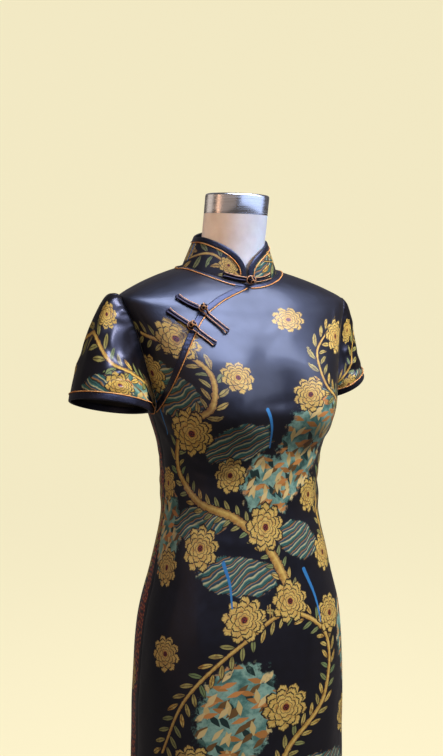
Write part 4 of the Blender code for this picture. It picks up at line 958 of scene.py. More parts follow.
def cloth_shell(name, outer, inner, slot, finishes, closed=False, print_place=None):
    """A thin closed shell between two grids of points. The second finish is the cloth's back."""
    rows, columns = outer.shape[:2]
    count = rows * columns
    points = np.concatenate([outer.reshape(-1, 3), inner.reshape(-1, 3)])
    front = grid_faces(rows, columns, closed)
    back = front[:, ::-1] + count
    rims = []
    steps = np.arange(columns if closed else columns - 1)
    after = (steps + 1) % columns
    last = (rows - 1) * columns
    rims.append(np.stack([after, steps, steps + count, after + count], -1))
    rims.append(np.stack([last + steps, last + after, last + after + count, last + steps + count], -1))
    if not closed:
        climb = np.arange(rows - 1) * columns
        rims.append(np.stack([climb, climb + columns, climb + columns + count, climb + count], -1))
        end = climb + columns - 1
        rims.append(np.stack([end + columns, end, end + count, end + columns + count], -1))
    faces = np.concatenate([front, back] + rims)
    turned_in = mesh_volume(points, faces) < 0
    if turned_in:
        faces = faces[:, ::-1]
    mesh = piece_mesh(name, points, faces)
    if len(finishes) > 1:
        which = np.zeros(len(faces), np.int32)
        which[len(front):2 * len(front)] = 1
        mesh.polygons.foreach_set("material_index", which)
    mesh.set_sharp_from_angle(angle=math.radians(60))
    if print_place is not None:
        across, up, tables = print_place
        mark_print(mesh, np.tile(across.reshape(-1), 2), np.tile(up.reshape(-1), 2), tables)
    return make_piece(name, mesh, slot, *finishes)


def tube(centres, normals, radius, sides, closed=False, flatness=1.0):
    """Points and faces of a closed tube round a line, with rounded ends where it is open."""
    travel = directions_along(centres, closed)
    sideways = unit(np.cross(normals, travel))
    upward = np.cross(travel, sideways)
    radius = np.broadcast_to(np.asarray(radius, float), (len(centres),))
    if not closed:
        ends = np.array([0.35, 0.75, 0.95])
        push = np.array([0.94, 0.66, 0.31])
        start = centres[0] - travel[0] * (push * radius[0])[:, None]
        stop = centres[-1] + travel[-1] * (push[::-1] * radius[-1])[:, None]
        centres = np.concatenate([start, centres, stop])
        sideways, upward = (np.pad(part, ((3, 3), (0, 0)), "edge") for part in (sideways, upward))
        radius = np.concatenate([radius[0] * ends, radius, radius[-1] * ends[::-1]])
    angles = 2 * math.pi * np.arange(sides) / sides
    rings = (
        centres[:, None]
        + (radius[:, None] * np.cos(angles))[..., None] * sideways[:, None]
        + (radius[:, None] * np.sin(angles) * flatness)[..., None] * upward[:, None]
    )
    return ring_mesh(rings, closed)


def ring_mesh(rings, closed=False):
    """Points and quad faces through rings of points, with each open end drawn in to a middle point."""
    count, around = rings.shape[:2]
    points = rings.reshape(-1, 3)
    numbers = np.arange(count * around).reshape(count, around)
    faces = grid_faces(count + closed, around, True) % len(points)
    volume = mesh_volume(points, faces)
    faces = [tuple(face) for face in (faces if volume > 0 else faces[:, ::-1]).tolist()]
    if not closed:
        ends = np.array([rings[0].mean(0), rings[-1].mean(0)])
        points = np.concatenate([points, ends])
        for last, ring in enumerate((numbers[0], numbers[-1])):
            for pair in zip(ring.tolist(), np.roll(ring, -1).tolist()):
                turned_over = bool(last) != (volume > 0)
                faces.append((*(pair[::-1] if turned_over else pair), count * around + last))
    return points, faces


def joined(parts):
    """One set of points and faces from several closed shapes that touch."""
    points, faces, offset = [], [], 0
    for part_points, part_faces in parts:
        points.append(part_points)
        faces += [tuple(number + offset for number in face) for face in part_faces]
        offset += len(part_points)
    return np.concatenate(points), faces


# ------------------------------------------------------------------ the print's places
def nearest_on_line(across, up, points):
    """Distance along a smooth line, signed distance across it, and how far past its ends, for each place."""
    points = np.array(points, float)
    knots = np.concatenate([[0], np.cumsum(np.linalg.norm(np.diff(points, axis=0), axis=1))])
    even = np.linspace(0, knots[-1], max(8, int(knots[-1] / 0.006)))
    slopes = np.gradient(points, knots, axis=0)
    line = np.stack([curve_at(knots, points[:, i], slopes[:, i], even) for i in (0, 1)], -1)
    best = np.full(len(across), FAR)
    found = np.tile([0.0, FAR, 0.0], (len(across), 1))
    run = 0.0
    for start, end in zip(line[:-1], line[1:]):
        step = end - start
        length = np.hypot(*step)
        ahead = ((across - start[0]) * step[0] + (up - start[1]) * step[1]) / length
        away = ((up - start[1]) * step[0] - (across - start[0]) * step[1]) / length
        beyond = ahead - np.clip(ahead, 0, length)
        distance = np.hypot(away, beyond)
        row = np.stack([run + ahead, np.copysign(distance, away), np.abs(beyond)], -1)
        found = np.where((distance < best)[:, None], row, found)
        best = np.minimum(best, distance)
        run += length
    return *found.T, run


def lines_attribute(across, up, table):
    """For the nearest of several lines: place along it, place across it, and its half thickness."""
    found = np.tile([0.0, FAR, 0.001], (len(across), 1))
    for number, (half, points) in enumerate(table):
        along, beside, past, length = nearest_on_line(across, up, points)
        taper = half * (1 - 0.65 * np.clip(along / length, 0, 1)) - 2.5 * past
        nearer = np.abs(beside) < np.abs(found[:, 1])
        row = np.stack([along + 3.1 * number, beside, taper], -1)
        found = np.where(nearer[:, None], row, found)
    return found


def blooms_attribute(across, up, table):
    """For the nearest flower: place in it, in its radii, and a number of its own."""
    found = np.full((len(across), 3), FAR)
    best = np.full(len(across), 99.0)
    for number, (centre_across, centre_up, radius, turned) in enumerate(table):
        x, y = (across - centre_across) / radius, (up - centre_up) / radius
        distance = np.hypot(x, y)
        row = np.stack([
            x * math.cos(turned) - y * math.sin(turned),
            x * math.sin(turned) + y * math.cos(turned),
            np.full(len(across), 0.37 * number),
        ], -1)
        found = np.where((distance < best)[:, None], row, found)
        best = np.minimum(best, distance)
    return found


def areas_attribute(across, up, table):
    """How far inside each kind of area a place is: 1 in the middle, 0 at the edge, less outside."""
    found = np.full((len(across), 3), -1.0)
    for kind, centre_across, centre_up, half_width, half_height, turned in table:
        x, y = across - centre_across, up - centre_up
        level = x * math.cos(turned) + y * math.sin(turned)
        rise = y * math.cos(turned) - x * math.sin(turned)
        inside = 1 - np.hypot(level / half_width, rise / half_height)
        which = AREA_KINDS.index(kind)
        found[:, which] = np.maximum(found[:, which], inside)
    return np.clip(found, -1, 1)


def mark_print(mesh, across, up, tables):
    """Writes the flat place of each point as a UV map, and where it lies in each printed motif."""
    blooms, branches, strokes, areas = tables
    layers = {
        "bloom": blooms_attribute(across, up, blooms),
        "branch": lines_attribute(across, up, branches),
        "stroke": lines_attribute(across, up, strokes),
        "area": areas_attribute(across, up, areas),
    }
    from_bloom = np.hypot(layers["bloom"][:, 0], layers["bloom"][:, 1])
    reach = np.abs(np.stack([layers["branch"][:, 1], layers["stroke"][:, 1], from_bloom], -1))
    layers["reach"] = np.minimum(reach, FAR)
    for name, values in layers.items():
        layer = mesh.attributes.new(name, "FLOAT_VECTOR", "POINT")
        layer.data.foreach_set("vector", values.astype(np.float32).reshape(-1))
    corner = np.empty(len(mesh.loops), np.int32)
    mesh.loops.foreach_get("vertex_index", corner)
    flat = mesh.uv_layers.new(name="flat")
    places = np.stack([across, up], -1)[corner]
    flat.uv.foreach_set("vector", places.astype(np.float32).reshape(-1))


BODY_PRINT = (BODY_BLOOMS, BODY_BRANCHES, BODY_STROKES, BODY_AREAS)
SLEEVE_PRINT = (SLEEVE_BLOOMS, SLEEVE_BRANCHES, (), SLEEVE_AREAS)
COLLAR_PRINT = (COLLAR_BLOOMS, COLLAR_BRANCHES, COLLAR_STROKES, COLLAR_AREAS)


# ------------------------------------------------------------------ finishes
def linear(code):
    """Linear colour with full alpha from an sRGB hex code. A setting's colour is linear already."""
    if not isinstance(code, str):
        return tuple(code)
    parts = [int(code[i:i + 2], 16) / 255 for i in (1, 3, 5)]
    parts = [part / 12.92 if part <= 0.04045 else ((part + 0.055) / 1.055) ** 2.4 for part in parts]
    return (*parts, 1.0)


# Short names for nodes, each with its type and usual settings.
KINDS = {name: ("ShaderNodeMath", {"operation": name.upper()}) for name in (
    "add", "subtract", "multiply", "divide", "multiply_add", "absolute", "sign", "floor", "fract", "sine",
    "cosine", "arctan2", "sqrt", "power")}
KINDS |= {
    "noise": ("ShaderNodeTexNoise", {}), "cells": ("ShaderNodeTexVoronoi", {"voronoi_dimensions": "2D"}),
    "waves": ("ShaderNodeTexWave", {}), "mapping": ("ShaderNodeMapping", {}),
    "ramp": ("ShaderNodeValToRGB", {}), "spread": ("ShaderNodeMapRange", {}),
    "step": ("ShaderNodeMapRange", {"interpolation_type": "SMOOTHSTEP"}),
    "mix": ("ShaderNodeMix", {"data_type": "RGBA"}), "split": ("ShaderNodeSeparateXYZ", {}),
    "bump": ("ShaderNodeBump", {}), "place": ("ShaderNodeTexCoord", {}), "mark": ("ShaderNodeAttribute", {}),
}
OBJECT_PLACE = 3


def fill(node, *inputs, **named):
    """Links or sets a node's inputs, in the order of its live sockets or by name with _ for a space."""
    live = [socket for socket in node.inputs if socket.enabled]
    by_name = [(node.inputs[name.replace("_", " ")], value) for name, value in named.items()]
    for socket, value in [*zip(live, inputs), *by_name]:
        if isinstance(value, bpy.types.NodeSocket):
            node.id_data.links.new(value, socket)
        elif value is not None:
            socket.default_value = linear(value) if str(value).startswith("#") else value


def add(tree, kind, *inputs, out=0, stops=(), **settings):
    """Adds a node and gives one of its live outputs. Settings with a capital name are inputs."""
    kind, usual = KINDS.get(kind, (kind, {}))
    node = tree.nodes.new(kind)
    for name, value in {**usual, **settings}.items():
        if name[0].islower():
            setattr(node, name, value)
    for number, (position, code) in enumerate(stops):
        elements = node.color_ramp.elements
        element = elements[number] if number < len(elements) else elements.new(position)
        element.position, element.color = position, linear(code)
    fill(node, *inputs, **{name: value for name, value in settings.items() if name[0].isupper()})
    return [socket for socket in node.outputs if socket.enabled][out]


def start_finish(name):
    """A new material, the function that draws its nodes, and its shader."""
    finish = bpy.data.materials.new(name)
    finish.use_nodes = True
    return finish, partial(add, finish.node_tree), finish.node_tree.nodes["Principled BSDF"]


def print_ground(draw, flat):
    """Navy-black ground with the faint cloudiness of a printed satin."""
    cloud = draw("noise", flat, Scale=9.0, Detail=3.0, Roughness=0.55)
    return draw("ramp", cloud, stops=((0.3, GROUND_DARK), (0.7, GROUND_LIGHT)))


def frayed(draw, flat, inside, scale, detail, roughness, low, high):
    """Where an area is printed, with its edge broken up by a noise."""
    edge = draw("noise", flat, Scale=scale, Detail=detail, Roughness=roughness)
    return draw("step", draw("add", inside, edge), low, high)


def print_drifts(draw, flat, under, inside):
    """Verdigris areas with a ragged brushed edge, strewn with broad fallen leaves."""
    area = frayed(draw, flat, inside, 55.0, 5.0, 0.7, 0.52, 0.68)
    wash = draw("noise", flat, Scale=26.0, Detail=6.0, Roughness=0.65)
    ground = draw("ramp", wash, stops=(
        (0.3, DRIFT_DEEP), (0.44, DRIFT_TEAL), (0.56, DRIFT_PALE), (0.66, DRIFT_TEAL), (0.76, DRIFT_DEEP)))
    drawn = draw("mix", area, under, ground)
    for turned, length, width, code, seed in DRIFT_LEAVES:
        placed = draw("mapping", flat, (seed, seed * 1.7, 0.0), (0.0, 0.0, turned), (length, width, 1.0),
                      vector_type="TEXTURE")
        cell = draw("cells", placed, distance="MINKOWSKI", Scale=1.0, Exponent=LEAF_ROUNDNESS, Randomness=1.0)
        # Only half of the cells hold a leaf, picked by each cell's own colour.
        held = draw("step", draw("split", cell.node.outputs["Color"]), 0.5, 0.52)
        leaf = draw("multiply", draw("step", cell, 0.33, 0.3), held)
        drawn = draw("mix", draw("multiply", leaf, area), drawn, code)
    return drawn


def print_ripples(draw, flat, under, inside):
    """Water in drawn ripples: teal, cream and blue lines that bend round each other."""
    area = frayed(draw, flat, inside, 40.0, 4.0, 0.65, 0.5, 0.6)
    bend = draw("noise", flat, out=1, Scale=18.0, Detail=2.0, Roughness=0.5)
    shifted = draw("ShaderNodeVectorMath", bend, (RIPPLE_BEND, RIPPLE_BEND, 0.0), flat,
                   operation="MULTIPLY_ADD")
    placed = draw("mapping", shifted, None, (0.0, 0.0, RIPPLE_SLANT))
    bands = draw("waves", placed, out=1, bands_direction="Y", wave_profile="SAW", Scale=RIPPLE_SCALE,
                 Distortion=1.2, Detail=2.0, Detail_Scale=3.0)
    ripples = draw("ramp", bands, stops=(
        (0.0, RIPPLE_DEEP), (0.2, RIPPLE_TEAL), (0.34, RIPPLE_CREAM), (0.44, RIPPLE_DEEP),
        (0.62, RIPPLE_BLUE), (0.74, RIPPLE_GOLD), (0.84, GROUND_DARK), (1.0, RIPPLE_TEAL)))
    return draw("mix", area, under, ripples)


def print_sprigs(draw, flat, under, inside):
    """A dense strip of tiny red and gold sprigs."""
    colour = draw("ramp", draw("cells", flat, Scale=SPRIG_SCALE, Randomness=0.7), stops=(
        (0.1, SPRIG_GOLD), (0.22, SPRIG_RED), (0.38, SPRIG_RED), (0.5, GROUND_DARK)))
    return draw("mix", draw("step", inside, 0.0, 0.12), under, colour)


def gold_grain(draw, flat):
    """The uneven gold of the motifs: pale highlights, old gold and a little burnt orange."""
    grain = draw("noise", flat, Scale=95.0, Detail=5.0, Roughness=0.68, Distortion=0.6)
    return draw("ramp", grain, stops=(
        (0.32, GOLD_BURNT), (0.46, GOLD_OLD), (0.56, GOLD_PALE), (0.7, GOLD_OLD)))


def marked(draw, name):
    """The three parts of one of the places that mark_print writes."""
    return draw("split", draw("mark", attribute_name=name, out=1)).node.outputs


def print_branch(draw, under, gold):
    """A gold branch with a dark outline and paired leaves that lean away from it."""
    along, beside, half = marked(draw, "branch")
    near = draw("step", marked(draw, "reach")[0], LINE_REACH, LINE_REACH - 0.001)
    away = draw("absolute", beside)
    # Leaves stand in cells along the branch, those on one side half a cell behind the other's.
    cell = draw("divide", draw("multiply_add", draw("sign", beside), LEAF_STEP / 4, along), LEAF_STEP)
    own = draw("ShaderNodeTexWhiteNoise", noise_dimensions="1D", W=draw("floor", cell))
    lean = draw("multiply_add", own, 0.5, LEAF_LEAN)
    level = draw("multiply_add", draw("fract", cell), LEAF_STEP, -0.5 * LEAF_STEP)
    off = draw("subtract", away, LEAF_AWAY)
    cos, sin = draw("cosine", lean), draw("sine", lean)
    run = draw("add", draw("multiply", level, cos), draw("multiply", off, sin))
    off_vein = draw("absolute", draw("subtract", draw("multiply", off, cos), draw("multiply", level, sin)))
    share = draw("divide", run, LEAF_LENGTH)
    width = draw("multiply_add", draw("multiply", share, share), -LEAF_WIDTH, LEAF_WIDTH)
    inside = draw("subtract", width, off_vein)
    flesh = draw("multiply", draw("step", inside, 0.0006, 0.0011), draw("step", off_vein, 0.0002, 0.0006))
    drawn = draw("mix", draw("multiply", draw("step", inside, -0.0002, 0.0002), near), under, OUTLINE)
    drawn = draw("mix", draw("multiply", flesh, near), drawn, draw("mix", own, gold, LEAF_GREEN))
    knots = draw("noise", noise_dimensions="1D", W=draw("multiply", along, 160.0), Scale=1.0)
    thick = draw("multiply", draw("multiply_add", knots, 0.9, 0.55), half)
    from_edge = draw("add", draw("subtract", near, 1.0), draw("subtract", thick, away))
    drawn = draw("mix", draw("step", from_edge, -0.0013, -0.0009), drawn, OUTLINE)
    bark = draw("divide", beside, half)
    tone = draw("ramp", draw("multiply_add", bark, 0.5, 0.5), stops=(
        (0.05, GOLD_BURNT), (0.35, GOLD_OLD), (0.62, GOLD_PALE), (0.95, GOLD_BURNT)))
    scales = draw("multiply_add", draw("sine", draw("multiply", along, 1100.0)), bark, 0.9)
    ringed = draw("multiply", draw("step", draw("absolute", scales), 0.3, 0.12), 0.55)
    bark_colour = draw("mix", ringed, draw("mix", 0.35, tone, gold), OUTLINE)
    return draw("mix", draw("step", from_edge, -0.0001, 0.0003), drawn, bark_colour)


def print_blooms(draw, under, gold):
    """Open flowers in rings of ruffled petals, each outlined dark, pale at the petals' edges."""
    place = draw("mark", attribute_name="bloom", out=1)
    x, y, own = draw("split", place).node.outputs
    near = draw("step", marked(draw, "reach")[2], 1.09, 1.05)
    away = draw("sqrt", draw("add", draw("multiply", x, x), draw("multiply", y, y)))
    angle, seed = draw("arctan2", y, x), draw("multiply", own, 7.0)
    drawn = under
    for number, (size, petals, pointed, shade) in enumerate(PETAL_RINGS):
        phase = draw("add", seed, 1.9 * number)
        lobe = draw("absolute", draw("sine", draw("multiply_add", angle, petals / 2, phase)))
        frill = draw("sine", draw("multiply_add", angle, petals * 3.0, phase))
        edge = draw("multiply_add", draw("power", lobe, pointed), 0.34 * size, 0.66 * size)
        share = draw("divide", away, draw("multiply_add", frill, 0.022 * size, edge))
        veins = draw("sine", draw("multiply", angle, petals * 6.0))
        petal = draw("ramp", draw("multiply_add", veins, 0.045, share), stops=(
            (0.3, GOLD_BURNT), (0.62, shade), (0.86, GOLD_PALE), (0.95, OUTLINE)))
        petal = draw("mix", draw("step", share, 0.9, 0.95), draw("mix", 0.35, petal, gold), OUTLINE)
        drawn = draw("mix", draw("multiply", draw("step", share, 1.01, 0.98), near), drawn, petal)
    core = draw("ramp", draw("cells", place, Scale=15.0), stops=((0.25, CORE_RED), (0.45, OUTLINE)))
    return draw("mix", draw("multiply", draw("step", away, 0.15, 0.12), near), drawn, core)


def print_strokes(draw, under):
    """Slim bright blue brush strokes with tapered ends."""
    _, beside, half = marked(draw, "stroke")
    near = draw("step", marked(draw, "reach")[1], LINE_REACH, LINE_REACH - 0.001)
    inside = draw("subtract", half, draw("absolute", beside))
    return draw("mix", draw("multiply", draw("step", inside, -0.0003, 0.0003), near), under, STROKE_BLUE)


def printed_satin(name):
    """Warp-faced polyester satin, digitally printed.

    Long warp floats lie side by side, so it is dark where it faces away from the light and breaks
    into broad soft highlights on each roll of the cloth. The print sits in the fibre and dulls it.
    """
    finish, draw, shader = start_finish(name)
    flat = draw("ShaderNodeUVMap", uv_map="flat")
    drifts, ripples, sprigs = marked(draw, "area")
    gold = gold_grain(draw, flat)
    drawn = print_drifts(draw, flat, print_ground(draw, flat), drifts)
    drawn = print_sprigs(draw, flat, print_ripples(draw, flat, drawn, ripples), sprigs)
    drawn = print_strokes(draw, print_blooms(draw, print_branch(draw, drawn, gold), gold))
    # The bare dyed ground is glossier than the parts that carry ink, and the more ink the duller.
    bare = draw("spread", draw("noise", flat, Scale=70.0, Detail=3.0), 0.3, 0.7, 0.38, 0.46)
    dulled = draw("multiply_add", draw("ShaderNodeRGBToBW", drawn), 0.8, bare, use_clamp=True)
    fill(shader, Base_Color=drawn, Roughness=dulled, Normal=satin_bump(draw, flat), Specular_IOR_Level=0.62,
         Specular_Tint=SATIN_GLINT, Sheen_Weight=0.06, Sheen_Roughness=0.4, Sheen_Tint=SATIN_SHEEN, IOR=1.5,
         Coat_Weight=0.22, Coat_Roughness=0.18)
    return finish


def satin_bump(draw, place):
    """Woven floats under slight creases.

    A warp float is about 0.12 mm wide, too fine for the picture, so it is drawn at 0.6 mm.
    """
    stretched = draw("mapping", place, None, None, (1 / 0.0006, 1 / 0.004, 1 / 0.0006))
    weave = draw("noise", stretched, Scale=1.0, Detail=1.0)
    creases = draw("noise", place, Scale=42.0, Detail=3.0, Roughness=0.5, Distortion=0.4)
    fine = draw("bump", Strength=0.1, Distance=0.0002, Height=weave)
    return draw("bump", Strength=0.3, Distance=0.0012, Height=creases, Normal=fine)


def plain_satin(name, dark, light, sheen, roughness=0.36, glint="#B9C4F2"):
    """Satin cut on the bias and folded: it shows fine slanting pulls and a tight highlight.

    The pulls of such a fold are about 0.5 mm apart, too fine for the picture, so they are drawn at 2.4 mm.
    """
    finish, draw, shader = start_finish(name)
    pulls = draw("mapping", draw("place", out=OBJECT_PLACE), None, (0.6, 0.7, 0.5), (420.0, 90.0, 420.0))
    tone = draw("noise", pulls, Scale=1.0, Detail=3.0)
    fill(shader, Base_Color=draw("ramp", tone, stops=((0.3, dark), (0.72, light))),
         Roughness=draw("spread", tone, 0.3, 0.7, roughness - 0.05, roughness + 0.07),
         Normal=draw("bump", Strength=0.35, Distance=0.0005, Height=tone), Specular_IOR_Level=0.65,
         Specular_Tint=glint, Sheen_Weight=0.25, Sheen_Roughness=0.3, Sheen_Tint=sheen, IOR=1.5)
    return finish


def lining(name):
    """The satin's back and its acetate lining: dull, near black, with a faint crosswise weave.

    The weave's threads are 0.1 mm apart, too fine for the picture, so its bands are drawn at about 2 mm.
    """
    finish, draw, shader = start_finish(name)
    weave = draw("waves", draw("place", out=OBJECT_PLACE), bands_direction="Z", Scale=180.0, Distortion=1.5)
    fill(shader, Base_Color=draw("ramp", weave, stops=((0.2, LINING_DARK), (0.8, LINING_LIGHT))),
         Roughness=0.62, Sheen_Weight=0.15, IOR=1.48)
    return finish


def form_paint():
    """Moulded glass fibre under a sprayed satin paint: pale, faintly mottled, with a slight orange peel.

    The peel's dimples are about 1.5 mm apart.
    """
    finish, draw, shader = start_finish("Glass_fibre_moulded_satin_painted")
    place = draw("place", out=OBJECT_PLACE)
    mottle = draw("noise", place, Scale=34.0, Detail=4.0, Roughness=0.6)
    peel = draw("noise", place, Scale=650.0, Detail=1.0)
    fill(shader, Base_Color=draw("ramp", mottle, stops=((0.3, FORM_SHADE), (0.68, FORM_PALE))),
         Roughness=0.42, Normal=draw("bump", Strength=0.12, Distance=0.0002, Height=peel),
         Subsurface_Weight=0.1, Subsurface_Scale=0.004, IOR=1.48)
    return finish


def brushed_steel(name, shade, light, roughness, stretch):
    """Stainless steel brushed in one direction, which draws reflections out across the grain.

    The brush lines are about 0.1 mm apart, too fine for the picture, so they are drawn at 1.4 mm or more.
    """
    finish, draw, shader = start_finish(name)
    drawn_out = draw("mapping", draw("place", out=OBJECT_PLACE), None, None, stretch)
    grain = draw("noise", drawn_out, Scale=1.0, Detail=4.0, Roughness=0.6)
    fill(shader, Base_Color=draw("ramp", grain, stops=((0.3, shade), (0.7, light))),
         Roughness=draw("spread", grain, 0.3, 0.7, roughness - 0.06, roughness + 0.08),
         Normal=draw("bump", Strength=0.05, Distance=0.0002, Height=grain), Metallic=1.0, Anisotropic=0.75)
    return finish


def thread(name, dark, light):
    """Spun polyester sewing thread: tiny slanting plies, about 1 mm a turn, with a dry sheen."""
    finish, draw, shader = start_finish(name)
    plies = draw("waves", draw("place", out=OBJECT_PLACE), bands_direction="DIAGONAL", Scale=900.0,
                 Distortion=1.0)
    fill(shader, Base_Color=draw("ramp", plies, stops=((0.2, dark), (0.8, light))), Roughness=0.42,
         Sheen_Weight=0.2)
    return finish


# ------------------------------------------------------------------ panels
def fine_levels(lowest):
    """Heights of a panel's rows up to the top of the armhole."""
    skirt = np.linspace(HEM, 0.94, SKIRT_ROWS, endpoint=False)
    bodice = np.linspace(0.94, ARMHOLE_LOW, BODICE_ROWS, endpoint=False)
    armhole = np.interp(np.linspace(0, len(LEVELS) - 1, ARMHOLE_ROWS), np.arange(len(LEVELS)), LEVELS)
    levels = np.concatenate([skirt, bodice, armhole])
    return levels[levels > lowest]


def fine_grid(right_edge, left_edge, columns, lowest=0.0):
    """Turns and heights of a panel's fine grid, level row by level row up to the neckline."""
    neck = ARMHOLE_HIGH + np.linspace(0, 1, NECK_ROWS)[1:] * (NECKLINE - ARMHOLE_HIGH)
    levels = np.concatenate([fine_levels(lowest), neck])[:, None]
    start, end = right_edge(levels), left_edge(levels)
    turns = start + (end - start) * np.linspace(0, 1, columns)
    return turns, np.broadcast_to(levels, turns.shape)


def panel(name, turns, heights, finishes):
    """A printed panel over this grid of places on the body."""
    outer, inner = (body_line(turns, heights, lift)[0] for lift in (0.0, -CLOTH))
    place = (turns * PRINT_RADIUS, heights, BODY_PRINT)
    return cloth_shell(name, outer, inner, "satin", finishes, print_place=place)


def make_panels(finishes):
    """The front, the back and the right shoulder."""
    front = fine_grid(front_right_edge, lambda height: -side_edge(height, ARMHOLE_FRONT), PANEL_COLUMNS)
    back = fine_grid(
        lambda height: CENTRE_BACK + side_edge(height, ARMHOLE_BACK),
        lambda height: CENTRE_BACK - side_edge(height, ARMHOLE_BACK),
        BACK_COLUMNS,
    )
    shoulder = fine_grid(
        lambda height: side_edge(height, ARMHOLE_FRONT),
        lambda height: opening_turn(height) + gap_turn(height),
        SHOULDER_COLUMNS, OPENING_LOW,
    )
    return [
        panel("front_satin", *front, finishes),
        panel("back_satin", *back, finishes),
        panel("right_shoulder_satin", *shoulder, finishes),
    ]


def sleeve_places(side):
    """Places round and along a sleeve up to its cuff binding, and the share where that begins."""
    around = round_turns(SLEEVE_AROUND)
    length = sleeve_length(side, around)
    start = 1.5 * SEAM_GAP / (length * SLEEVE_HEAD_REACH)
    cuff = 1 - BINDING_WIDTH / length
    share = np.linspace(0, 1, SLEEVE_ROWS)[:, None] ** 1.25
    along = np.concatenate([start + (cuff - start) * share, 1 - (1 - cuff) * np.array([[0.5], [0.02]])])
    return np.repeat(around[None, :], len(along), axis=0), along


def make_sleeve(side, finishes):
    """A printed set-in sleeve."""
    surface = sleeve_surface(side)
    around, along = sleeve_places(side)
    lift = sleeve_lift(side, around, along)
    outer, inner = (surface_line(surface, around, along, lift - wall)[0] for wall in (0.0, CLOTH))
    across = around * SLEEVE_PRINT_RADIUS + SLEEVE_PRINT_START[side]
    return cloth_shell(side + "_sleeve_satin", outer, inner, "satin", finishes, closed=True,
                       print_place=(across, along * SLEEVE_PRINT_LENGTH, SLEEVE_PRINT))


# ------------------------------------------------------------------ bindings
# A laid strip's section, as shares of its thickness and width, and the distance between its stations.
BIND_STATION = 0.0022
BIND_PROFILE = np.array([0.25, 0.74, 0.94, 1.0, 1.0, 0.94, 0.74, 0.25])
BIND_ACROSS = np.array([0.0, 0.035, 0.1, 0.3, 0.7, 0.9, 0.965, 1.0])


def surface_strip(name, one_edge, other_edge, finishes):
    """A rounded bias strip laid on the dress between two matching lines."""
    share = BIND_ACROSS[:, None]
    turns, heights = (one * (1 - share) + other * share for one, other in zip(one_edge, other_edge))
    length = np.arange(turns.shape[1]) * BIND_STATION
    drag = 0.1 * np.sin(length * 610) + 0.07 * np.sin(length * 1050 + 1.3)
    rise = BINDING_WALL * (BIND_PROFILE[:, None] + drag * (BIND_PROFILE[:, None] > 0.8))
    outer, inner = (body_line(turns, heights, SEAM_GAP + lift)[0] for lift in (rise, 0.0))
    return cloth_shell(name, outer, inner, "binding", finishes)


def folded_profile(width, cloth):
    """A binding's section, folded over an edge: (towards the cloth, off it), and the same inside it."""
    middle = -cloth / 2
    near, far = SEAM_GAP, SEAM_GAP + BINDING_WALL
    turn = np.linspace(math.pi / 2, -math.pi / 2, 9)[:, None]
    half_round = np.concatenate([-np.cos(turn), np.sin(turn)], 1)
    round_far = [0, middle] + half_round * (cloth / 2 + far)
    leg = np.array([[width, near + 0.25 * BINDING_WALL], [width * 0.975, near + 0.75 * BINDING_WALL],
                    [width * 0.92, near + 0.97 * BINDING_WALL], [width * 0.6, far], [width * 0.3, far]])
    back = leg[::-1] * [1, -1] + [0, 2 * middle]
    round_near = [0, middle] + half_round[::-1] * (cloth / 2 + near) * [0.9, 1]
    inside_back = np.array([[width, 2 * middle - near], [width * 0.5, 2 * middle - near]])
    inside_front = np.array([[width * 0.5, near], [width, near]])
    return np.concatenate([leg, round_far, back, inside_back, round_near, inside_front])


def folded_binding(name, edge, normals, inward, width, cloth, finishes, closed):
    """A bias binding folded over the free edge of a cloth."""
    profile = folded_profile(width, cloth)
    length = np.arange(len(edge)) * BIND_STATION
    drag = 1 + 0.05 * np.sin(length * 700)[:, None] * np.sin(profile[:, 0] / width * math.pi)[None, :]
    rings = (
        edge[:, None]
        + profile[None, :, 0, None] * inward[:, None]
        + (profile[None, :, 1] * drag)[..., None] * normals[:, None]
    )
    return make_piece(name, smooth_mesh(name, *ring_mesh(rings, closed)), "binding", *finishes)


def smooth_mesh(name, points, faces, angle=50):
    """A mesh shaded smooth, but for edges sharper than this many degrees."""
    mesh = piece_mesh(name, points, faces)
    mesh.set_sharp_from_angle(angle=math.radians(angle))
    return mesh


def make_cuff(side, finishes):
    """The binding folded over a sleeve's edge."""
    surface, around, cuff = cuff_line(side, CUFF_STATIONS, BINDING_WIDTH)
    edge, inside = surface(around, 1.0), surface(around, cuff)
    normals = (outward_normal(surface, around, 1.0) + outward_normal(surface, around, cuff)) / 2
    name, inward = side + "_cuff_binding", unit(inside - edge)
    return folded_binding(name, edge, normals, inward, BINDING_WIDTH, CLOTH, finishes, True)


def collar_places():
    """The collar's free edge with evenly spaced points, and the turns of its columns."""
    low = COLLAR_FRONT_EDGE / COLLAR_HEIGHT
    start, end = COLLAR_ENDS
    bend = np.linspace(0, 1, 400) ** 2.4 / 2
    turns = start + (end - start) * np.concatenate([bend, 1 - bend[-2::-1]])
    rise = np.linspace(3 * COLLAR_SEAM / COLLAR_HEIGHT, low, 6)[:-1]
    first = np.concatenate([np.full(5, start), turns, np.full(5, end)])
    second = np.concatenate([rise, collar_share(turns), rise[::-1]])
    edge = evenly_spaced(collar_surface, first, second, COLLAR_EDGE_POINTS)
    columns = np.unique(np.clip(edge[0], start, end))
    return edge, columns


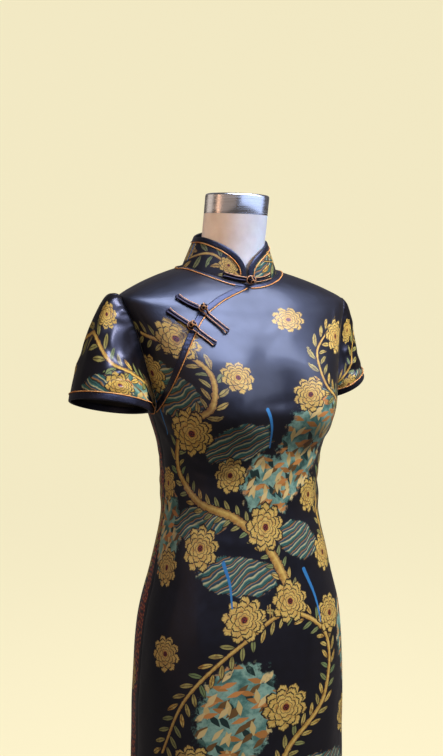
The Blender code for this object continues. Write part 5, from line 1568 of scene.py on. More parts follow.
def make_collar(finishes, bindings):
    """The printed stand collar and the binding folded over its edge."""
    edge, columns = collar_places()
    foot = COLLAR_SEAM / COLLAR_HEIGHT
    rows = np.linspace(0, 1, COLLAR_ROWS)[:, None]
    shares = foot + (collar_share(columns) - foot) * rows
    turns = np.repeat(columns[None, :], COLLAR_ROWS, axis=0)
    bow = COLLAR_BOW * np.sin(shares * math.pi) + slack(turns, shares * 0.05, COLLAR_SLACK)
    outer, inner = (surface_line(collar_surface, turns, shares, bow - wall)[0] for wall in (0.0, COLLAR_WALL))
    place = (turns * COLLAR_PRINT_RADIUS, shares * COLLAR_HEIGHT, COLLAR_PRINT)
    shell = cloth_shell("collar_satin", outer, inner, "satin", finishes, print_place=place)
    points = collar_surface(*edge)
    normals = outward_normal(collar_surface, *edge)
    inward = unit(np.cross(normals, directions_along(points)))
    return shell, folded_binding(
        "collar_binding", points, normals, inward, COLLAR_BINDING_WIDTH, COLLAR_WALL, bindings, False)


def make_neck_binding(finishes):
    """The binding laid round the neck, below the collar."""
    start = float(front_right_edge(NECKLINE))
    turns = np.linspace(start, start - 2 * math.pi + 2 * gap_turn(NECKLINE), 260)
    low, top = neck_edge_height(turns), np.full(turns.shape, NECKLINE - 0.0006)
    return surface_strip("neck_binding", (turns, low), (turns, top), finishes)


def diagonal_heights():
    """Heights of the stations of the opening's trims."""
    levels = np.interp(np.linspace(1, len(LEVELS) - 1, 130), np.arange(len(LEVELS)), LEVELS)
    top = NECKLINE
    for _ in range(6):
        top = float(neck_edge_height(piping_turn(top)))
    return np.concatenate([levels, np.linspace(ARMHOLE_HIGH, top - 0.0004, 40)[1:]])


def make_diagonal_binding(finishes):
    """The binding laid along the curved opening."""
    heights = diagonal_heights()
    edge, line = (front_right_edge(heights), heights), (piping_turn(heights), heights)
    return surface_strip("opening_binding", edge, line, finishes)


def make_hem_binding(which, finishes):
    """The binding of one half's hem and of its two slits."""
    edge, inside = (hem_lines(distance, HALVES[which], HEM_STATIONS) for distance in (0, BINDING_WIDTH))
    return surface_strip(which + "_hem_binding", edge, inside, finishes)


# ------------------------------------------------------------------ what follows a line
def line_object(name, points, normals, closed):
    """An object of bare edges through points, each with the direction that faces off the cloth."""
    count = len(points)
    edges = [(i, i + 1) for i in range(count - 1)] + ([(count - 1, 0)] if closed else [])
    mesh = bpy.data.meshes.new(name)
    mesh.from_pydata(points.tolist(), edges, [])
    layer = mesh.attributes.new("off_cloth", "FLOAT_VECTOR", "POINT")
    layer.data.foreach_set("vector", normals.astype(np.float32).reshape(-1))
    made = bpy.data.objects.new(name, mesh)
    bpy.context.scene.collection.objects.link(made)
    return made


def start_tree(name, *sizes):
    """A Geometry Nodes tree: what draws its nodes, and its named inputs for the sizes and the finish."""
    tree = bpy.data.node_groups.new(name, "GeometryNodeTree")
    kinds = [("Geometry", "Geometry"), *((size, "Float") for size in sizes), ("Finish", "Material")]
    for label, kind in kinds:
        tree.interface.new_socket(label, in_out="INPUT", socket_type="NodeSocket" + kind)
    tree.interface.new_socket("Geometry", in_out="OUTPUT", socket_type="NodeSocketGeometry")
    return partial(add, tree), tree.nodes.new("NodeGroupInput").outputs


def end_tree(draw, made, given):
    """Ends a tree as plain mesh in its finish, and gives the tree."""
    made = draw("GeometryNodeRealizeInstances", made)
    made = draw("GeometryNodeSetMaterial", Geometry=made, Material=given["Finish"])
    tree = made.id_data
    tree.links.new(made, tree.nodes.new("NodeGroupOutput").inputs[0])
    return tree


def covered_cord_tree():
    """A cord covered in bias satin: an oval that turns slowly along the line, so it looks twisted."""
    draw, given = start_tree("Covered_cord", "Radius", "Turns per metre", "Station")
    curve = draw("GeometryNodeMeshToCurve", given["Geometry"])
    curve = draw("GeometryNodeResampleCurve", Curve=curve, Length=given["Station"], mode="LENGTH")
    turned = draw("multiply", draw("GeometryNodeSplineParameter", out=1), given["Turns per metre"])
    curve = draw("GeometryNodeSetCurveTilt", Curve=curve, Tilt=draw("multiply", turned, 2 * math.pi))
    oval = draw("GeometryNodeCurvePrimitiveCircle", Resolution=10, Radius=given["Radius"])
    oval = draw("GeometryNodeTransform", oval, Scale=(1.0, 0.86, 1.0))
    cord = draw("GeometryNodeCurveToMesh", Curve=curve, Profile_Curve=oval, Fill_Caps=True)
    return end_tree(draw, draw("GeometryNodeSetShadeSmooth", cord), given)


def stitch_tree():
    """Short hand stitches, evenly spaced along a line and turned a little across it."""
    draw, given = start_tree("Hand_stitches", "Spacing", "Length", "Thickness", "Slant")
    curve = draw("GeometryNodeMeshToCurve", given["Geometry"])
    curve = draw("GeometryNodeResampleCurve", Curve=curve, Length=given["Spacing"], mode="LENGTH")
    facing = draw("GeometryNodeInputNamedAttribute", "off_cloth", data_type="FLOAT_VECTOR")
    upright = draw("FunctionNodeAlignRotationToVector", Vector=facing, axis="Z")
    turned = draw("FunctionNodeAlignRotationToVector", axis="X", pivot_axis="Z", Rotation=upright,
                  Vector=draw("GeometryNodeInputTangent"))
    wander = draw("FunctionNodeRandomValue", -STITCH_WANDER, STITCH_WANDER, Seed=7, data_type="FLOAT")
    slant = draw("ShaderNodeCombineXYZ", Z=draw("add", given["Slant"], wander))
    turned = draw("FunctionNodeRotateRotation", turned, slant, rotation_space="LOCAL")
    stitch = draw("GeometryNodeMeshUVSphere", Segments=6, Rings=4, Radius=0.5)
    size = draw("ShaderNodeCombineXYZ", given["Length"], given["Thickness"], given["Thickness"])
    stitches = draw("GeometryNodeInstanceOnPoints", Points=curve, Instance=stitch, Rotation=turned,
                    Scale=size)
    return end_tree(draw, draw("GeometryNodeSetShadeSmooth", stitches), given)


def grow(name, line, tree, slot, node=None, **sizes):
    """Runs a tree on a line and keeps the result as a plain mesh piece."""
    modifier = line.modifiers.new("grow", "NODES")
    modifier.node_group = tree
    for item in tree.interface.items_tree:
        if item.item_type == "SOCKET" and item.in_out == "INPUT" and item.name != "Geometry":
            modifier[item.identifier] = sizes[item.name.replace(" ", "_").lower()]
    graph = bpy.context.evaluated_depsgraph_get()
    graph.update()
    mesh = bpy.data.meshes.new_from_object(line.evaluated_get(graph))
    mesh.name = name
    bpy.data.objects.remove(line, do_unlink=True)
    if not mesh.polygons:
        raise RuntimeError(name + " came out empty")
    return make_piece(name, mesh, slot, node=node)


def piping_lines():
    """Every piping's name, the solid that it stands for, its points, directions and whether it closes."""
    above = SEAM_GAP + PIPING_RADIUS
    lines = []
    turns, heights = neck_line(BINDING_WIDTH + above)
    clear = turns > opening_turn(heights) + PIPING_END_TURN
    lines.append(("neck_piping", "piping_neck", *body_line(turns[clear], heights[clear], above), False))
    heights = diagonal_heights()
    line = evenly_spaced(body, *moved_across(body, piping_turn(heights), heights, -above), 160)
    lines.append(("opening_piping", "piping_diagonal", *body_line(*line, above), False))
    edge, _ = collar_places()
    line = moved_across(collar_surface, *edge, COLLAR_BINDING_WIDTH + 2.5 * SEAM_GAP + PIPING_RADIUS)
    line = surface_line(collar_surface, *(part[8:-8] for part in line), above + 0.0004)
    lines.append(("collar_piping", "piping_collar", *line, False))
    for side in SIDE_SIGN:
        surface, *line = cuff_line(side, CUFF_STATIONS, BINDING_WIDTH + 2.4 * SEAM_GAP + PIPING_RADIUS)
        lift = above + SEAM_GAP + sleeve_lift(side, *line)
        line = surface_line(surface, *line, lift)
        lines.append((side + "_cuff_piping", "piping_cuff_" + side, *line, True))
    for which, middle in HALVES.items():
        line = body_line(*hem_lines(BINDING_WIDTH + above, middle, HEM_STATIONS), above)
        lines.append((which + "_hem_piping", "piping_hem_" + which, *line, False))
    return lines


def make_pipings(finish, twist):
    """The covered piping inside every binding."""
    tree = covered_cord_tree()
    for name, node, *line in piping_lines():
        grow(name, line_object(name, *line), tree, "piping", node, radius=PIPING_RADIUS,
             turns_per_metre=twist, station=PIPING_STATION, finish=finish)


# ------------------------------------------------------------------ frogs
def ball_knot(centre, sideways, upward, radius):
    """A knotted button: three cords that pass over and under each other round a firm core."""
    forward = np.cross(sideways, upward)
    axes = np.stack([sideways, forward, upward])
    step = np.linspace(0, 2 * math.pi * KNOT_LEADS, 260, endpoint=False)
    latitude = KNOT_REACH * np.cos(KNOT_BIGHTS * step / KNOT_LEADS)
    strand = radius * 0.24
    away = radius - strand * 1.15 + 0.3 * strand * np.sin(2 * KNOT_BIGHTS * step / KNOT_LEADS)
    flat = away * np.cos(latitude)
    local = np.stack([flat * np.cos(step), flat * np.sin(step), away * np.sin(latitude)], -1)
    cord = tube(centre + local @ axes, unit(local) @ axes, strand, 8, closed=True)
    levels = np.radians(np.linspace(-84, 84, 13))
    core = turned_rings(zip(np.cos(levels), np.sin(levels)), 24)
    return [cord, ring_mesh(centre + (radius - strand * 1.05) * core @ axes)]


def ball_edging(centre, sideways, upward, radius):
    """The bright edge of the cord where it crosses the ball: loops that each pass near its top."""
    axes = np.stack([sideways, np.cross(sideways, upward), upward])
    step = round_turns(64)[:, None]
    loops = []
    for tilt, turned, wide in ((0.75, 0.5, 0.85), (0.8, 3.3, 0.52)):
        level = np.array([-math.sin(turned), math.cos(turned), 0.0])
        middle = np.array([math.sin(tilt) * level[1], -math.sin(tilt) * level[0], math.cos(tilt)])
        local = np.cos(step) * level + np.sin(step) * np.cross(middle, level)
        local = (math.cos(wide) * middle + math.sin(wide) * local) @ axes
        loops.append(tube(centre + radius * 0.99 * local, local, EDGING_RADIUS * 0.8, 8, closed=True))
    return loops


def strand(places, radius, flatness=1.0):
    """A cord through places on a bar, as points and faces."""
    return tube(*places, radius, 12, flatness=flatness)


def bar_side(arm, near):
    """Distances along and across one side of a bar, from its folded tail to near the knot."""
    along = np.linspace(arm, near, 26)
    return along, BAR_SPREAD * (1 + BAR_FLARE * np.exp(-(arm - along) / BAR_FLARE_REACH))


def bar_tail(arm):
    """Distances along and across the fold at the end of a bar."""
    across = np.linspace(-1, 1, 9)
    return arm + 0.0004 + 0.0012 * (1 - across**2), across * BAR_SPREAD * (1 + BAR_FLARE)


def knot_stem(places, normal, forward):
    """The cord that rises from the bar's end into the ball."""
    rise = np.linspace(0, 1, 8)[:, None]
    start, end = places[1] - forward * 0.0026, places[0] + normal * 0.003
    stem = start * (1 - rise) ** 2 + 2 * places[0] * rise * (1 - rise) + end * rise**2
    return tube(stem, np.repeat(np.cross(forward, normal)[None], 8, 0), CORD_RADIUS, 10)


def loop_path(arm, outset=0.0, raised=0.0):
    """Distances along, across and off the cloth, down one side of the loop and back up the other."""
    along, across = bar_side(arm, 0.0105)
    angles, radius = np.radians(np.linspace(42, 180, 26)), LOOP_RADIUS + outset
    along = np.concatenate([along, radius * np.cos(angles)])
    across = np.concatenate([across + outset * across / BAR_SPREAD, radius * np.sin(angles)])
    low, over_bar = FROG_LIFT + CORD_RADIUS, FROG_LIFT + BAR_THICK + SEAM_GAP + CORD_RADIUS
    lift = np.interp(along, [0.004, 0.012], [over_bar, low]) + raised
    return tuple(np.append(part, sign * part[-2::-1]) for part, sign in ((along, 1), (across, -1), (lift, 1)))


def make_frog(name, surface, knot_tail, knot, loop_tail, finish, edging):
    """Both halves of a knot-and-loop frog, each a folded bias cord with a copper edge; on the bars that edge
    lies on the upper side only, partly a painted highlight.
    """
    level = FROG_LIFT + BAR_THICK / 2
    ends = surface(*np.array([knot_tail, knot, loop_tail]).T)
    knot_arm, loop_arm = np.linalg.norm(ends[0] - ends[1]), np.linalg.norm(ends[2] - ends[1])
    on_knot, on_loop = (partial(frog_places, surface, knot, tail) for tail in (knot_tail, loop_tail))
    knot_half, copper_and_highlight = [], []
    middle = on_knot(np.linspace(knot_arm, BAR_END, 26), 0.0, level)[0]
    for sign in (1, -1):
        along, across = bar_side(knot_arm, BAR_END)
        along = np.append(along, [0.006, 0.0042, 0.0028])
        across = sign * np.append(across, BAR_SPREAD * np.array([0.8, 0.55, 0.35]))
        knot_half.append(strand(on_knot(along, across, level), BAR_RADIUS, 0.86))
        # The copper edge cord goes on the upper side of a bar only: real trim, and partly a painted highlight
        # where light from above falls on the upper edge.
        along, across = along[:-2], across[:-2]
        if on_knot(along, across, level)[0][:, 2].mean() > middle[:, 2].mean():
            beside = across + sign * BAR_RADIUS * 0.8
            copper_and_highlight.append(strand(on_knot(along, beside, level + 0.001), EDGING_RADIUS))
    places, normals = on_knot(np.array([0.0, 0.001]), 0.0, level)
    forward = unit(places[0] - places[1])
    reach = BALL_RADIUS + CORD_RADIUS + SEAM_GAP
    ball_level = BAR_THICK / 2 + SEAM_GAP + CORD_RADIUS + math.sqrt(reach**2 - LOOP_RADIUS**2)
    ball = (places[0] + normals[0] * ball_level, np.cross(normals[0], forward), normals[0],
            BALL_RADIUS * 1.06)
    knot_half += [strand(on_knot(*bar_tail(knot_arm), level - TAIL_SUNK), BAR_RADIUS * 0.9, 0.8),
                  knot_stem(places, normals[0], forward), *ball_knot(*ball)]
    copper_and_highlight += ball_edging(*ball)
    tail = on_loop(*bar_tail(loop_arm), FROG_LIFT + CORD_RADIUS - TAIL_SUNK)
    loop_half = [strand(on_loop(*loop_path(loop_arm)), LOOP_CORD), strand(tail, 0.00135, 0.8)]
    copper_and_highlight.append(strand(on_loop(*loop_path(loop_arm, LOOP_EDGE_OUT, LOOP_EDGE_UP)), EDGING_RADIUS))

    for half, parts in (("knot", knot_half), ("loop", loop_half)):
        mesh = smooth_mesh(half, *joined(parts))
        make_piece(f"{name}_frog_{half}", mesh, "frog", finish, node=f"frog_{name}_{half}")
    make_piece(f"{name}_frog_edging", smooth_mesh("edging", *joined(copper_and_highlight)), "piping", edging)


# ------------------------------------------------------------------ form and stand
def torso_ring(height, inset=0.0):
    """A ring of the form's body inside the dress, further in by the inset."""
    clearance = np.interp(height, *np.array(FORM_CLEARANCE).T)
    return surface_line(plain_body, round_turns(FORM_SIDES), height, -(CLOTH + clearance + inset))[0]


def form_ring(distance, lean, radius=NECK_RADIUS):
    """A ring on the form's neck, this far up its axis and square to this lean."""
    axis = np.array([0, -math.sin(NECK_LEAN), math.cos(NECK_LEAN)])
    forward = np.array([0, -math.cos(lean), -math.sin(lean)])
    turns = round_turns(FORM_SIDES)[:, None]
    outward = np.sin(turns) * [-1, 0, 0] + np.cos(turns) * forward
    return np.array(NECK_FOOT) + axis * distance + radius * outward


def make_torso(finish):
    """The form's body and neck in one skin, round at its lower edge."""
    rings = []
    for inset, rise in FORM_ROUNDING:
        ring = torso_ring(FORM_BOTTOM, inset)
        ring[:, 2] = FORM_BOTTOM + rise
        rings.append(ring)
    levels = np.concatenate([np.linspace(0.81, 1.36, 56), np.linspace(1.366, NECKLINE, 16)])
    rings += [torso_ring(level) for level in levels]
    shoulder, root, upper = rings[-1], form_ring(NECK_ROOT, NECK_LEAN), form_ring(NECK_STRAIGHT, NECK_LEAN)
    for share in np.linspace(0, 1, 12)[1:-1]:
        rings.append(shoulder * (1 - share) ** 2 + root * 2 * share * (1 - share) + upper * share**2)
    for share in np.linspace(0, 1, 8):
        up = NECK_STRAIGHT + (NECK_TOP - NECK_STRAIGHT) * share
        rings.append(form_ring(up, NECK_LEAN + (CAP_LEAN - NECK_LEAN) * share))
    mesh = smooth_mesh("form_cover", *ring_mesh(np.array(rings)))
    make_piece("form_cover", mesh, "form_skin", finish, node="form_torso")


# The cap's section: how far up from the neck's top, and how far in from its side.
CAP_PROFILE = (
    (0.0003, 0.0), (0.001, 0.0), (0.0014, 0.0004), (0.0018, 0.0), (0.0275, 0.0), (0.0288, 0.0003),
    (0.0299, 0.001), (0.0306, 0.0021), (0.031, 0.0036), (0.031, 0.01), (0.031, 0.03),
)


def make_cap(finish):
    """The steel cap on the form's neck."""
    rings = [form_ring(NECK_TOP + up, CAP_LEAN, NECK_RADIUS - inset) for up, inset in CAP_PROFILE]
    mesh = smooth_mesh("neck_cap", *ring_mesh(np.array(rings)), STEEL_EDGE)
    make_piece("neck_cap", mesh, "steel", finish, node="form_neck_cap")


def turned_rings(profile, sides):
    """Rings of points round +Z for a profile of (radius, height)."""
    angles = round_turns(sides)
    circle = np.stack([np.cos(angles), np.sin(angles), np.zeros(sides)], -1)
    return np.array([radius * circle + [0, 0, height] for radius, height in profile])


def make_stand(base_finish, pole_finish):
    """The round base and the pole with its collar."""
    low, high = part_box("form_base")
    radius, top = (high[0] - low[0]) / 2, high[2]
    edge = [(radius - 0.004 + 0.004 * math.sin(a), 0.004 - 0.004 * math.cos(a))
            for a in np.linspace(0, math.pi / 2, 6)]
    shoulder = [(radius - 0.005 + 0.005 * math.cos(a), top - 0.007 + 0.005 * math.sin(a))
                for a in np.linspace(0, 1.3, 7)]
    crown = [(radius * 0.86, top - 0.0008), (radius * 0.8, top), (0.034, top), (0.032, top - 0.0006),
             (0.02, top - 0.0006)]
    mesh = smooth_mesh("stand_base", *ring_mesh(turned_rings(edge + shoulder + crown, 96)), STEEL_EDGE)
    make_piece("stand_base", mesh, "steel", base_finish, node="form_base")
    low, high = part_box("form_pole")
    radius = (high[0] - low[0]) / 2
    # A collar with a shallow neck either side of it shows where the pole's height is set.
    inner = radius - 0.0012
    profile = [(radius, low[2]), (radius, low[2] + 0.01), (inner, low[2] + 0.0115), (inner, 0.42),
               (radius, 0.421), (radius, 0.446), (inner, 0.447), (inner, high[2])]
    mesh = smooth_mesh("stand_pole", *ring_mesh(turned_rings(profile, 64)), STEEL_EDGE)
    make_piece("stand_pole", mesh, "steel", pole_finish, node="form_pole")


# ------------------------------------------------------------------ stitches
def stitch_lines():
    """Each row of hand stitches: its name, points, the direction off the cloth, and whether it closes."""
    lines = []
    reach = BINDING_WALL + SEAM_GAP - STITCH_THICKNESS * 0.1
    turns, heights = neck_line(BINDING_WIDTH - STITCH_IN)
    lines.append(("neck_stitches", *body_line(turns, heights, reach), False))
    heights = diagonal_heights()[4:-4]
    turns = piping_turn(heights) + gap_turn(heights, STITCH_IN)
    lines.append(("opening_stitches", *body_line(turns, heights, reach), False))
    for side in SIDE_SIGN:
        line = surface_line(*cuff_line(side, 200, BINDING_WIDTH - STITCH_IN), reach)
        lines.append((side + "_cuff_stitches", *line, True))
    for which, middle in HALVES.items():
        line = hem_lines(BINDING_WIDTH - STITCH_IN, middle, 260)
        lines.append((which + "_hem_stitches", *body_line(*line, reach), False))
    return lines


# ------------------------------------------------------------------ studio
def aim(thing, target):
    """Turns a light's -Z axis towards a point."""
    direction = np.array(target) - np.array(thing.location)
    flat = math.hypot(direction[0], direction[1])
    thing.rotation_euler = (math.atan2(flat, -direction[2]), 0, math.atan2(-direction[0], direction[1]))


def softbox(lamp, share):
    """One soft rectangular light from a row of LAMPS, with this share of its power."""
    light = bpy.data.lights.new(lamp["name"] + "_softbox", "AREA")
    light.shape, light.size, light.size_y = "RECTANGLE", lamp["width"], lamp["height"]
    light.energy = lamp["power"] * share
    light.color = linear(lamp["colour"])[:3]
    made = bpy.data.objects.new(light.name, light)
    made.location = lamp["place"]
    aim(made, lamp["target"])
    bpy.context.scene.collection.objects.link(made)
    made.visible_glossy = lamp["seen"] != "soft"
    made.visible_diffuse = lamp["seen"] != "shine"
    if lamp["lights"] != "all":
        state = "EXCLUDE" if "not_" in lamp["lights"] else "INCLUDE"
        light_only(made, LIT_PIECES[lamp["lights"].removeprefix("not_")], state)
    return made


def light_only(lamp, names, state):
    """Lets a lamp light only the named pieces, or every piece but these."""
    lit = bpy.data.collections.new(lamp.name + "_pieces")
    for number, name in enumerate(names):
        lit.objects.link(bpy.data.objects[name])
        lit.collection_objects[number].light_linking.link_state = state
    lamp.light_linking.receiver_collection = lit


def backdrop_paper(colour, glow):
    """Matt cream backdrop paper, lit evenly from its own side so that it shows no falloff."""
    finish, draw, shader = start_finish("Backdrop_paper_matt")
    tooth = draw("noise", draw("place", out=OBJECT_PLACE), Scale=60.0, Detail=2.0)
    dimmer, dim = ((*(part * share for part in colour[:3]), 1.0) for share in (0.195, 0.2))
    fill(shader, Base_Color=draw("mix", tooth, dimmer, dim), Roughness=1.0, Specular_IOR_Level=0.0,
         Emission_Color=colour, Emission_Strength=glow)
    return finish


def make_backdrop(settings):
    """A round floor that curves up all the way round, so every view has the same pale ground."""
    profile = [(0.02, 0.0), (1.0, 0.0), (3.0, 0.0), (5.0, 0.0)]
    profile += [(5.0 + 2.5 * math.sin(a), 2.5 - 2.5 * math.cos(a)) for a in np.linspace(0.1, math.pi / 2, 14)]
    profile += [(7.5, 4.0), (7.5, 6.5)]
    points = np.concatenate([turned_rings(profile, 96).reshape(-1, 3), [[0.0, 0.0, 0.0]]])
    faces = [tuple(face) for face in grid_faces(len(profile), 96, True).tolist()]
    faces += [(len(points) - 1, i, (i + 1) % 96) for i in range(96)]
    mesh = piece_mesh("backdrop", points, faces)
    mesh.materials.append(backdrop_paper(settings.backdrop_colour, settings.backdrop_glow))
    made = bpy.data.objects.new("backdrop", mesh)
    bpy.context.scene.collection.objects.link(made)
    made.visible_diffuse = made.visible_glossy = made.visible_shadow = False
    return made


def make_studio(settings):
    """The backdrop, every softbox of the table and a pale surround."""
    make_backdrop(settings)
    for row in LAMPS:
        lamp = dict(zip(LAMP_COLUMNS, row))
        softbox(lamp, settings.shine_share if lamp["seen"] == "shine" else settings.soft_share)
    world = bpy.data.worlds.new("Surround")
    bpy.context.scene.world = world
    world.use_nodes = True
    surround = world.node_tree.nodes["Background"]
    surround.inputs["Color"].default_value = linear("#EBDDD2")
    surround.inputs["Strength"].default_value = settings.surround


def make_camera():
    """The camera of the main view."""
    lens = bpy.data.cameras.new("camera")
    lens.lens, lens.sensor_width, lens.sensor_fit = CAMERA_LENS, 36.0, "AUTO"
    lens.dof.use_dof = False
    camera = bpy.data.objects.new("camera", lens)
    camera.location = CAMERA_PLACE
    camera.rotation_euler = (math.radians(90 - CAMERA_DOWN), 0, math.radians(-CAMERA_ROUND))
    bpy.context.scene.collection.objects.link(camera)
    bpy.context.scene.camera = camera


# ------------------------------------------------------------------ settings and operators
# The steel of the cap, base and pole: finish, roughness and how the brush lines run.
STEELS = (
    ("Stainless_steel_spun_polished", 0.2, (14.0, 14.0, 700.0)),
    ("Steel_plate_satin_ground", 0.34, (220.0, 220.0, 20.0)),
    ("Steel_tube_brushed", 0.28, (500.0, 500.0, 14.0)),
)


def colour_setting(label, description, code):
    return bpy.props.FloatVectorProperty(
        name=label, description=description, default=linear(code), subtype="COLOR", size=4, min=0.0, max=1.0)


def size_setting(label, description, default, low=0.0, **kind):
    return bpy.props.FloatProperty(name=label, description=description, default=default, min=low, **kind)


class DressSettings(bpy.types.PropertyGroup):
    """Trim sizes and colours of the dress."""

    binding_dark: colour_setting("Binding", "Colour of the bias binding", "#121119")
    binding_light: colour_setting("Binding highlight", "Lighter tone in the binding's pulls", "#22222F")
    piping_dark: colour_setting("Piping", "Colour of the covered piping", "#DE8442")
    piping_light: colour_setting("Piping highlight", "Lighter tone in the piping", "#FBCB8C")
    piping_twist: size_setting("Piping twist", "Turns of the bias cover in a metre", 95.0)
    stitch_spacing: size_setting(
        "Stitch spacing", "Distance between hand stitches", 0.0034, 0.0015, unit="LENGTH")
    stitch_length: size_setting("Stitch length", "Length of a hand stitch", 0.0021, 0.0005, unit="LENGTH")


class StandSettings(bpy.types.PropertyGroup):
    """Finishes of the dress form and its stand."""

    steel_shade: colour_setting("Steel shade", "Darker tone of the steel", "#B4B1AF")
    steel_light: colour_setting("Steel light", "Lighter tone of the steel", "#CDCED1")


class StudioSettings(bpy.types.PropertyGroup):
    """Lights and backdrop."""

    backdrop_colour: colour_setting("Backdrop", "Colour of the backdrop paper", "#F4EBC6")
    backdrop_glow: size_setting("Backdrop light", "Even light on the backdrop", 0.95)
    soft_share: size_setting("Soft light", "Share of the soft lights' power", 1.0, subtype="FACTOR")
    shine_share: size_setting(
        "Shine", "Share of the power of the lights seen in highlights", 1.0, subtype="FACTOR")
    surround: size_setting("Surround", "Strength of the pale surround", 0.15, subtype="FACTOR")


def shared_finish(name, make, *looks):
    """A finish made once under its name and shared by every piece that asks for it."""
    return bpy.data.materials.get(name) or make(name, *looks)


def cloth_finishes():
    """The printed satin and its lining."""
    return (shared_finish("Polyester_satin_printed", printed_satin),
            shared_finish("Acetate_lining_woven", lining))


def binding_finishes(settings):
    return (shared_finish("Polyester_satin_bias_folded", plain_satin, settings.binding_dark,
                          settings.binding_light, "#7C86A8"),)


def piping_finish(settings):
    return shared_finish("Polyester_satin_piping_covered", plain_satin, settings.piping_dark,
                         settings.piping_light, "#FFD8A8", 0.34, "#FFE0B0")


def cut_from(piece, node, cut, held, under):
    """Hides the solid that a piece of cloth stands for. The piece, its flat size and area, how it is held and
    what it rests on are not used.
    """
    flat, area = cut
    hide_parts(node)


class DRESS_OT_panels(bpy.types.Operator):
    """Make the front, back and right shoulder in printed satin"""

    bl_idname = "cheongsam.panels"
    bl_label = "Dress panels"

    def execute(self, context):
        for piece, (node, *cut) in zip(make_panels(cloth_finishes()), PANEL_CUTS):
            cut_from(piece, node, cut, "hung", "form_torso")
        return {"FINISHED"}


class DRESS_OT_sleeves(bpy.types.Operator):
    """Make both set-in sleeves"""

    bl_idname = "cheongsam.sleeves"
    bl_label = "Sleeves"

    def execute(self, context):
        for side, cut in SLEEVE_CUTS.items():
            cut_from(make_sleeve(side, cloth_finishes()), "sleeve_" + side, cut, "hung", "front_panel")
        return {"FINISHED"}


class DRESS_OT_collar(bpy.types.Operator):
    """Make the stand collar and its folded binding"""

    bl_idname = "cheongsam.collar"
    bl_label = "Stand collar"

    def execute(self, context):
        shell, bound = make_collar(cloth_finishes(), binding_finishes(context.scene.cheongsam_dress))
        cut_from(shell, "collar", COLLAR_CUT, "hung", "front_panel")
        cut_from(bound, "binding_collar", BINDING_CUTS["binding_collar"], "folded", "collar")
        return {"FINISHED"}


class DRESS_OT_bindings(bpy.types.Operator):
    """Make the bias bindings of the neck, opening, cuffs, hem and side slits"""

    bl_idname = "cheongsam.bindings"
    bl_label = "Bias bindings"

    def execute(self, context):
        finishes = binding_finishes(context.scene.cheongsam_dress)
        made = [(make_neck_binding(finishes), "binding_neck", "laid", "front_panel"),
                (make_diagonal_binding(finishes), "binding_diagonal", "laid", "front_panel")]
        for which in HALVES:
            made.append((make_hem_binding(which, finishes), "binding_hem_" + which, "laid", which + "_panel"))
        for side in SIDE_SIGN:
            made.append((make_cuff(side, finishes), "binding_cuff_" + side, "folded", "sleeve_" + side))
        for piece, node, held, under in made:
            cut_from(piece, node, BINDING_CUTS[node], held, under)
        return {"FINISHED"}


class DRESS_OT_pipings(bpy.types.Operator):
    """Make the covered piping beside every binding"""

    bl_idname = "cheongsam.pipings"
    bl_label = "Piping"

    def execute(self, context):
        settings = context.scene.cheongsam_dress
        make_pipings(piping_finish(settings), settings.piping_twist)
        return {"FINISHED"}


class DRESS_OT_frogs(bpy.types.Operator):
    """Make the three knot-and-loop frogs"""

    bl_idname = "cheongsam.frogs"
    bl_label = "Frogs"

    def execute(self, context):
        cord = plain_satin("Polyester_satin_cord_stitched", "#0C0A0E", "#1B1720", "#4A4252", 0.3, "#8C86A8")
        edging = plain_satin("Metallic_thread_cord_wound", "#B06A3C", "#EAC49A", "#FFE2C0", 0.3, "#FFE6C8")
        for name, surface_name, knot_tail, knot, loop_tail in FROGS:
            surface = collar_surface if surface_name == "collar" else plain_body
            places = [(math.radians(turn), height) for turn, height in (knot_tail, knot, loop_tail)]
            make_frog(name, surface, *places, cord, edging)
        return {"FINISHED"}


class DRESS_OT_stitches(bpy.types.Operator):
    """Make the hand stitches beside the bindings"""

    bl_idname = "cheongsam.stitches"
    bl_label = "Hand stitches"

    def execute(self, context):
        settings = context.scene.cheongsam_dress
        finish = thread("Polyester_sewing_thread_spun", "#14131A", "#2C2B38")
        tree = stitch_tree()
        for name, *line in stitch_lines():
            grow(name, line_object(name, *line), tree, "binding", spacing=settings.stitch_spacing,
                 length=settings.stitch_length, thickness=STITCH_THICKNESS, slant=STITCH_SLANT, finish=finish)
        return {"FINISHED"}


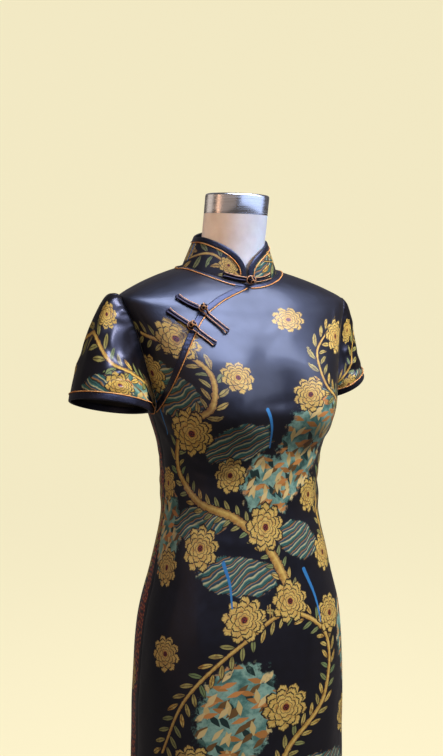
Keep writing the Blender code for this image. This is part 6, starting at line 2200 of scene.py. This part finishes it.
class DRESS_OT_form(bpy.types.Operator):
    """Make the covered form, its neck cap, the pole and the base"""

    bl_idname = "cheongsam.form"
    bl_label = "Dress form"

    def execute(self, context):
        settings = context.scene.cheongsam_stand
        cap, base, pole = (
            brushed_steel(name, settings.steel_shade, settings.steel_light, roughness, stretch)
            for name, roughness, stretch in STEELS)
        make_torso(form_paint())
        make_cap(cap)
        make_stand(base, pole)
        return {"FINISHED"}


class DRESS_OT_studio(bpy.types.Operator):
    """Make the backdrop, the lights and the camera"""

    bl_idname = "cheongsam.studio"
    bl_label = "Studio"

    def execute(self, context):
        context.scene.view_settings.view_transform = "Standard"
        make_studio(context.scene.cheongsam_studio)
        make_camera()
        return {"FINISHED"}


STEPS = (
    DRESS_OT_form, DRESS_OT_panels, DRESS_OT_sleeves, DRESS_OT_collar, DRESS_OT_bindings, DRESS_OT_pipings,
    DRESS_OT_frogs, DRESS_OT_stitches, DRESS_OT_studio,
)


class DRESS_PT_steps(bpy.types.Panel):
    """Lists the steps and the settings in the sidebar."""

    bl_idname = "DRESS_PT_steps"
    bl_label = "Cheongsam"
    bl_space_type = "VIEW_3D"
    bl_region_type = "UI"
    bl_category = "Cheongsam"

    def draw(self, context):
        for step in STEPS:
            self.layout.operator(step.bl_idname)
        for name in SETTINGS:
            group = getattr(context.scene, name)
            for label in group.__annotations__:
                self.layout.prop(group, label)


SETTINGS = {
    "cheongsam_dress": DressSettings, "cheongsam_stand": StandSettings, "cheongsam_studio": StudioSettings,
}
CLASSES = (*SETTINGS.values(), *STEPS, DRESS_PT_steps)


def register():
    for made in CLASSES:
        bpy.utils.register_class(made)
    for name, group in SETTINGS.items():
        setattr(bpy.types.Scene, name, bpy.props.PointerProperty(type=group))


def unregister():
    for name in SETTINGS:
        delattr(bpy.types.Scene, name)
    for made in reversed(CLASSES):
        bpy.utils.unregister_class(made)


def main():
    register()
    for step in STEPS:
        group, name = step.bl_idname.split(".")
        getattr(getattr(bpy.ops, group), name)()


if __name__ == "__main__":
    main()
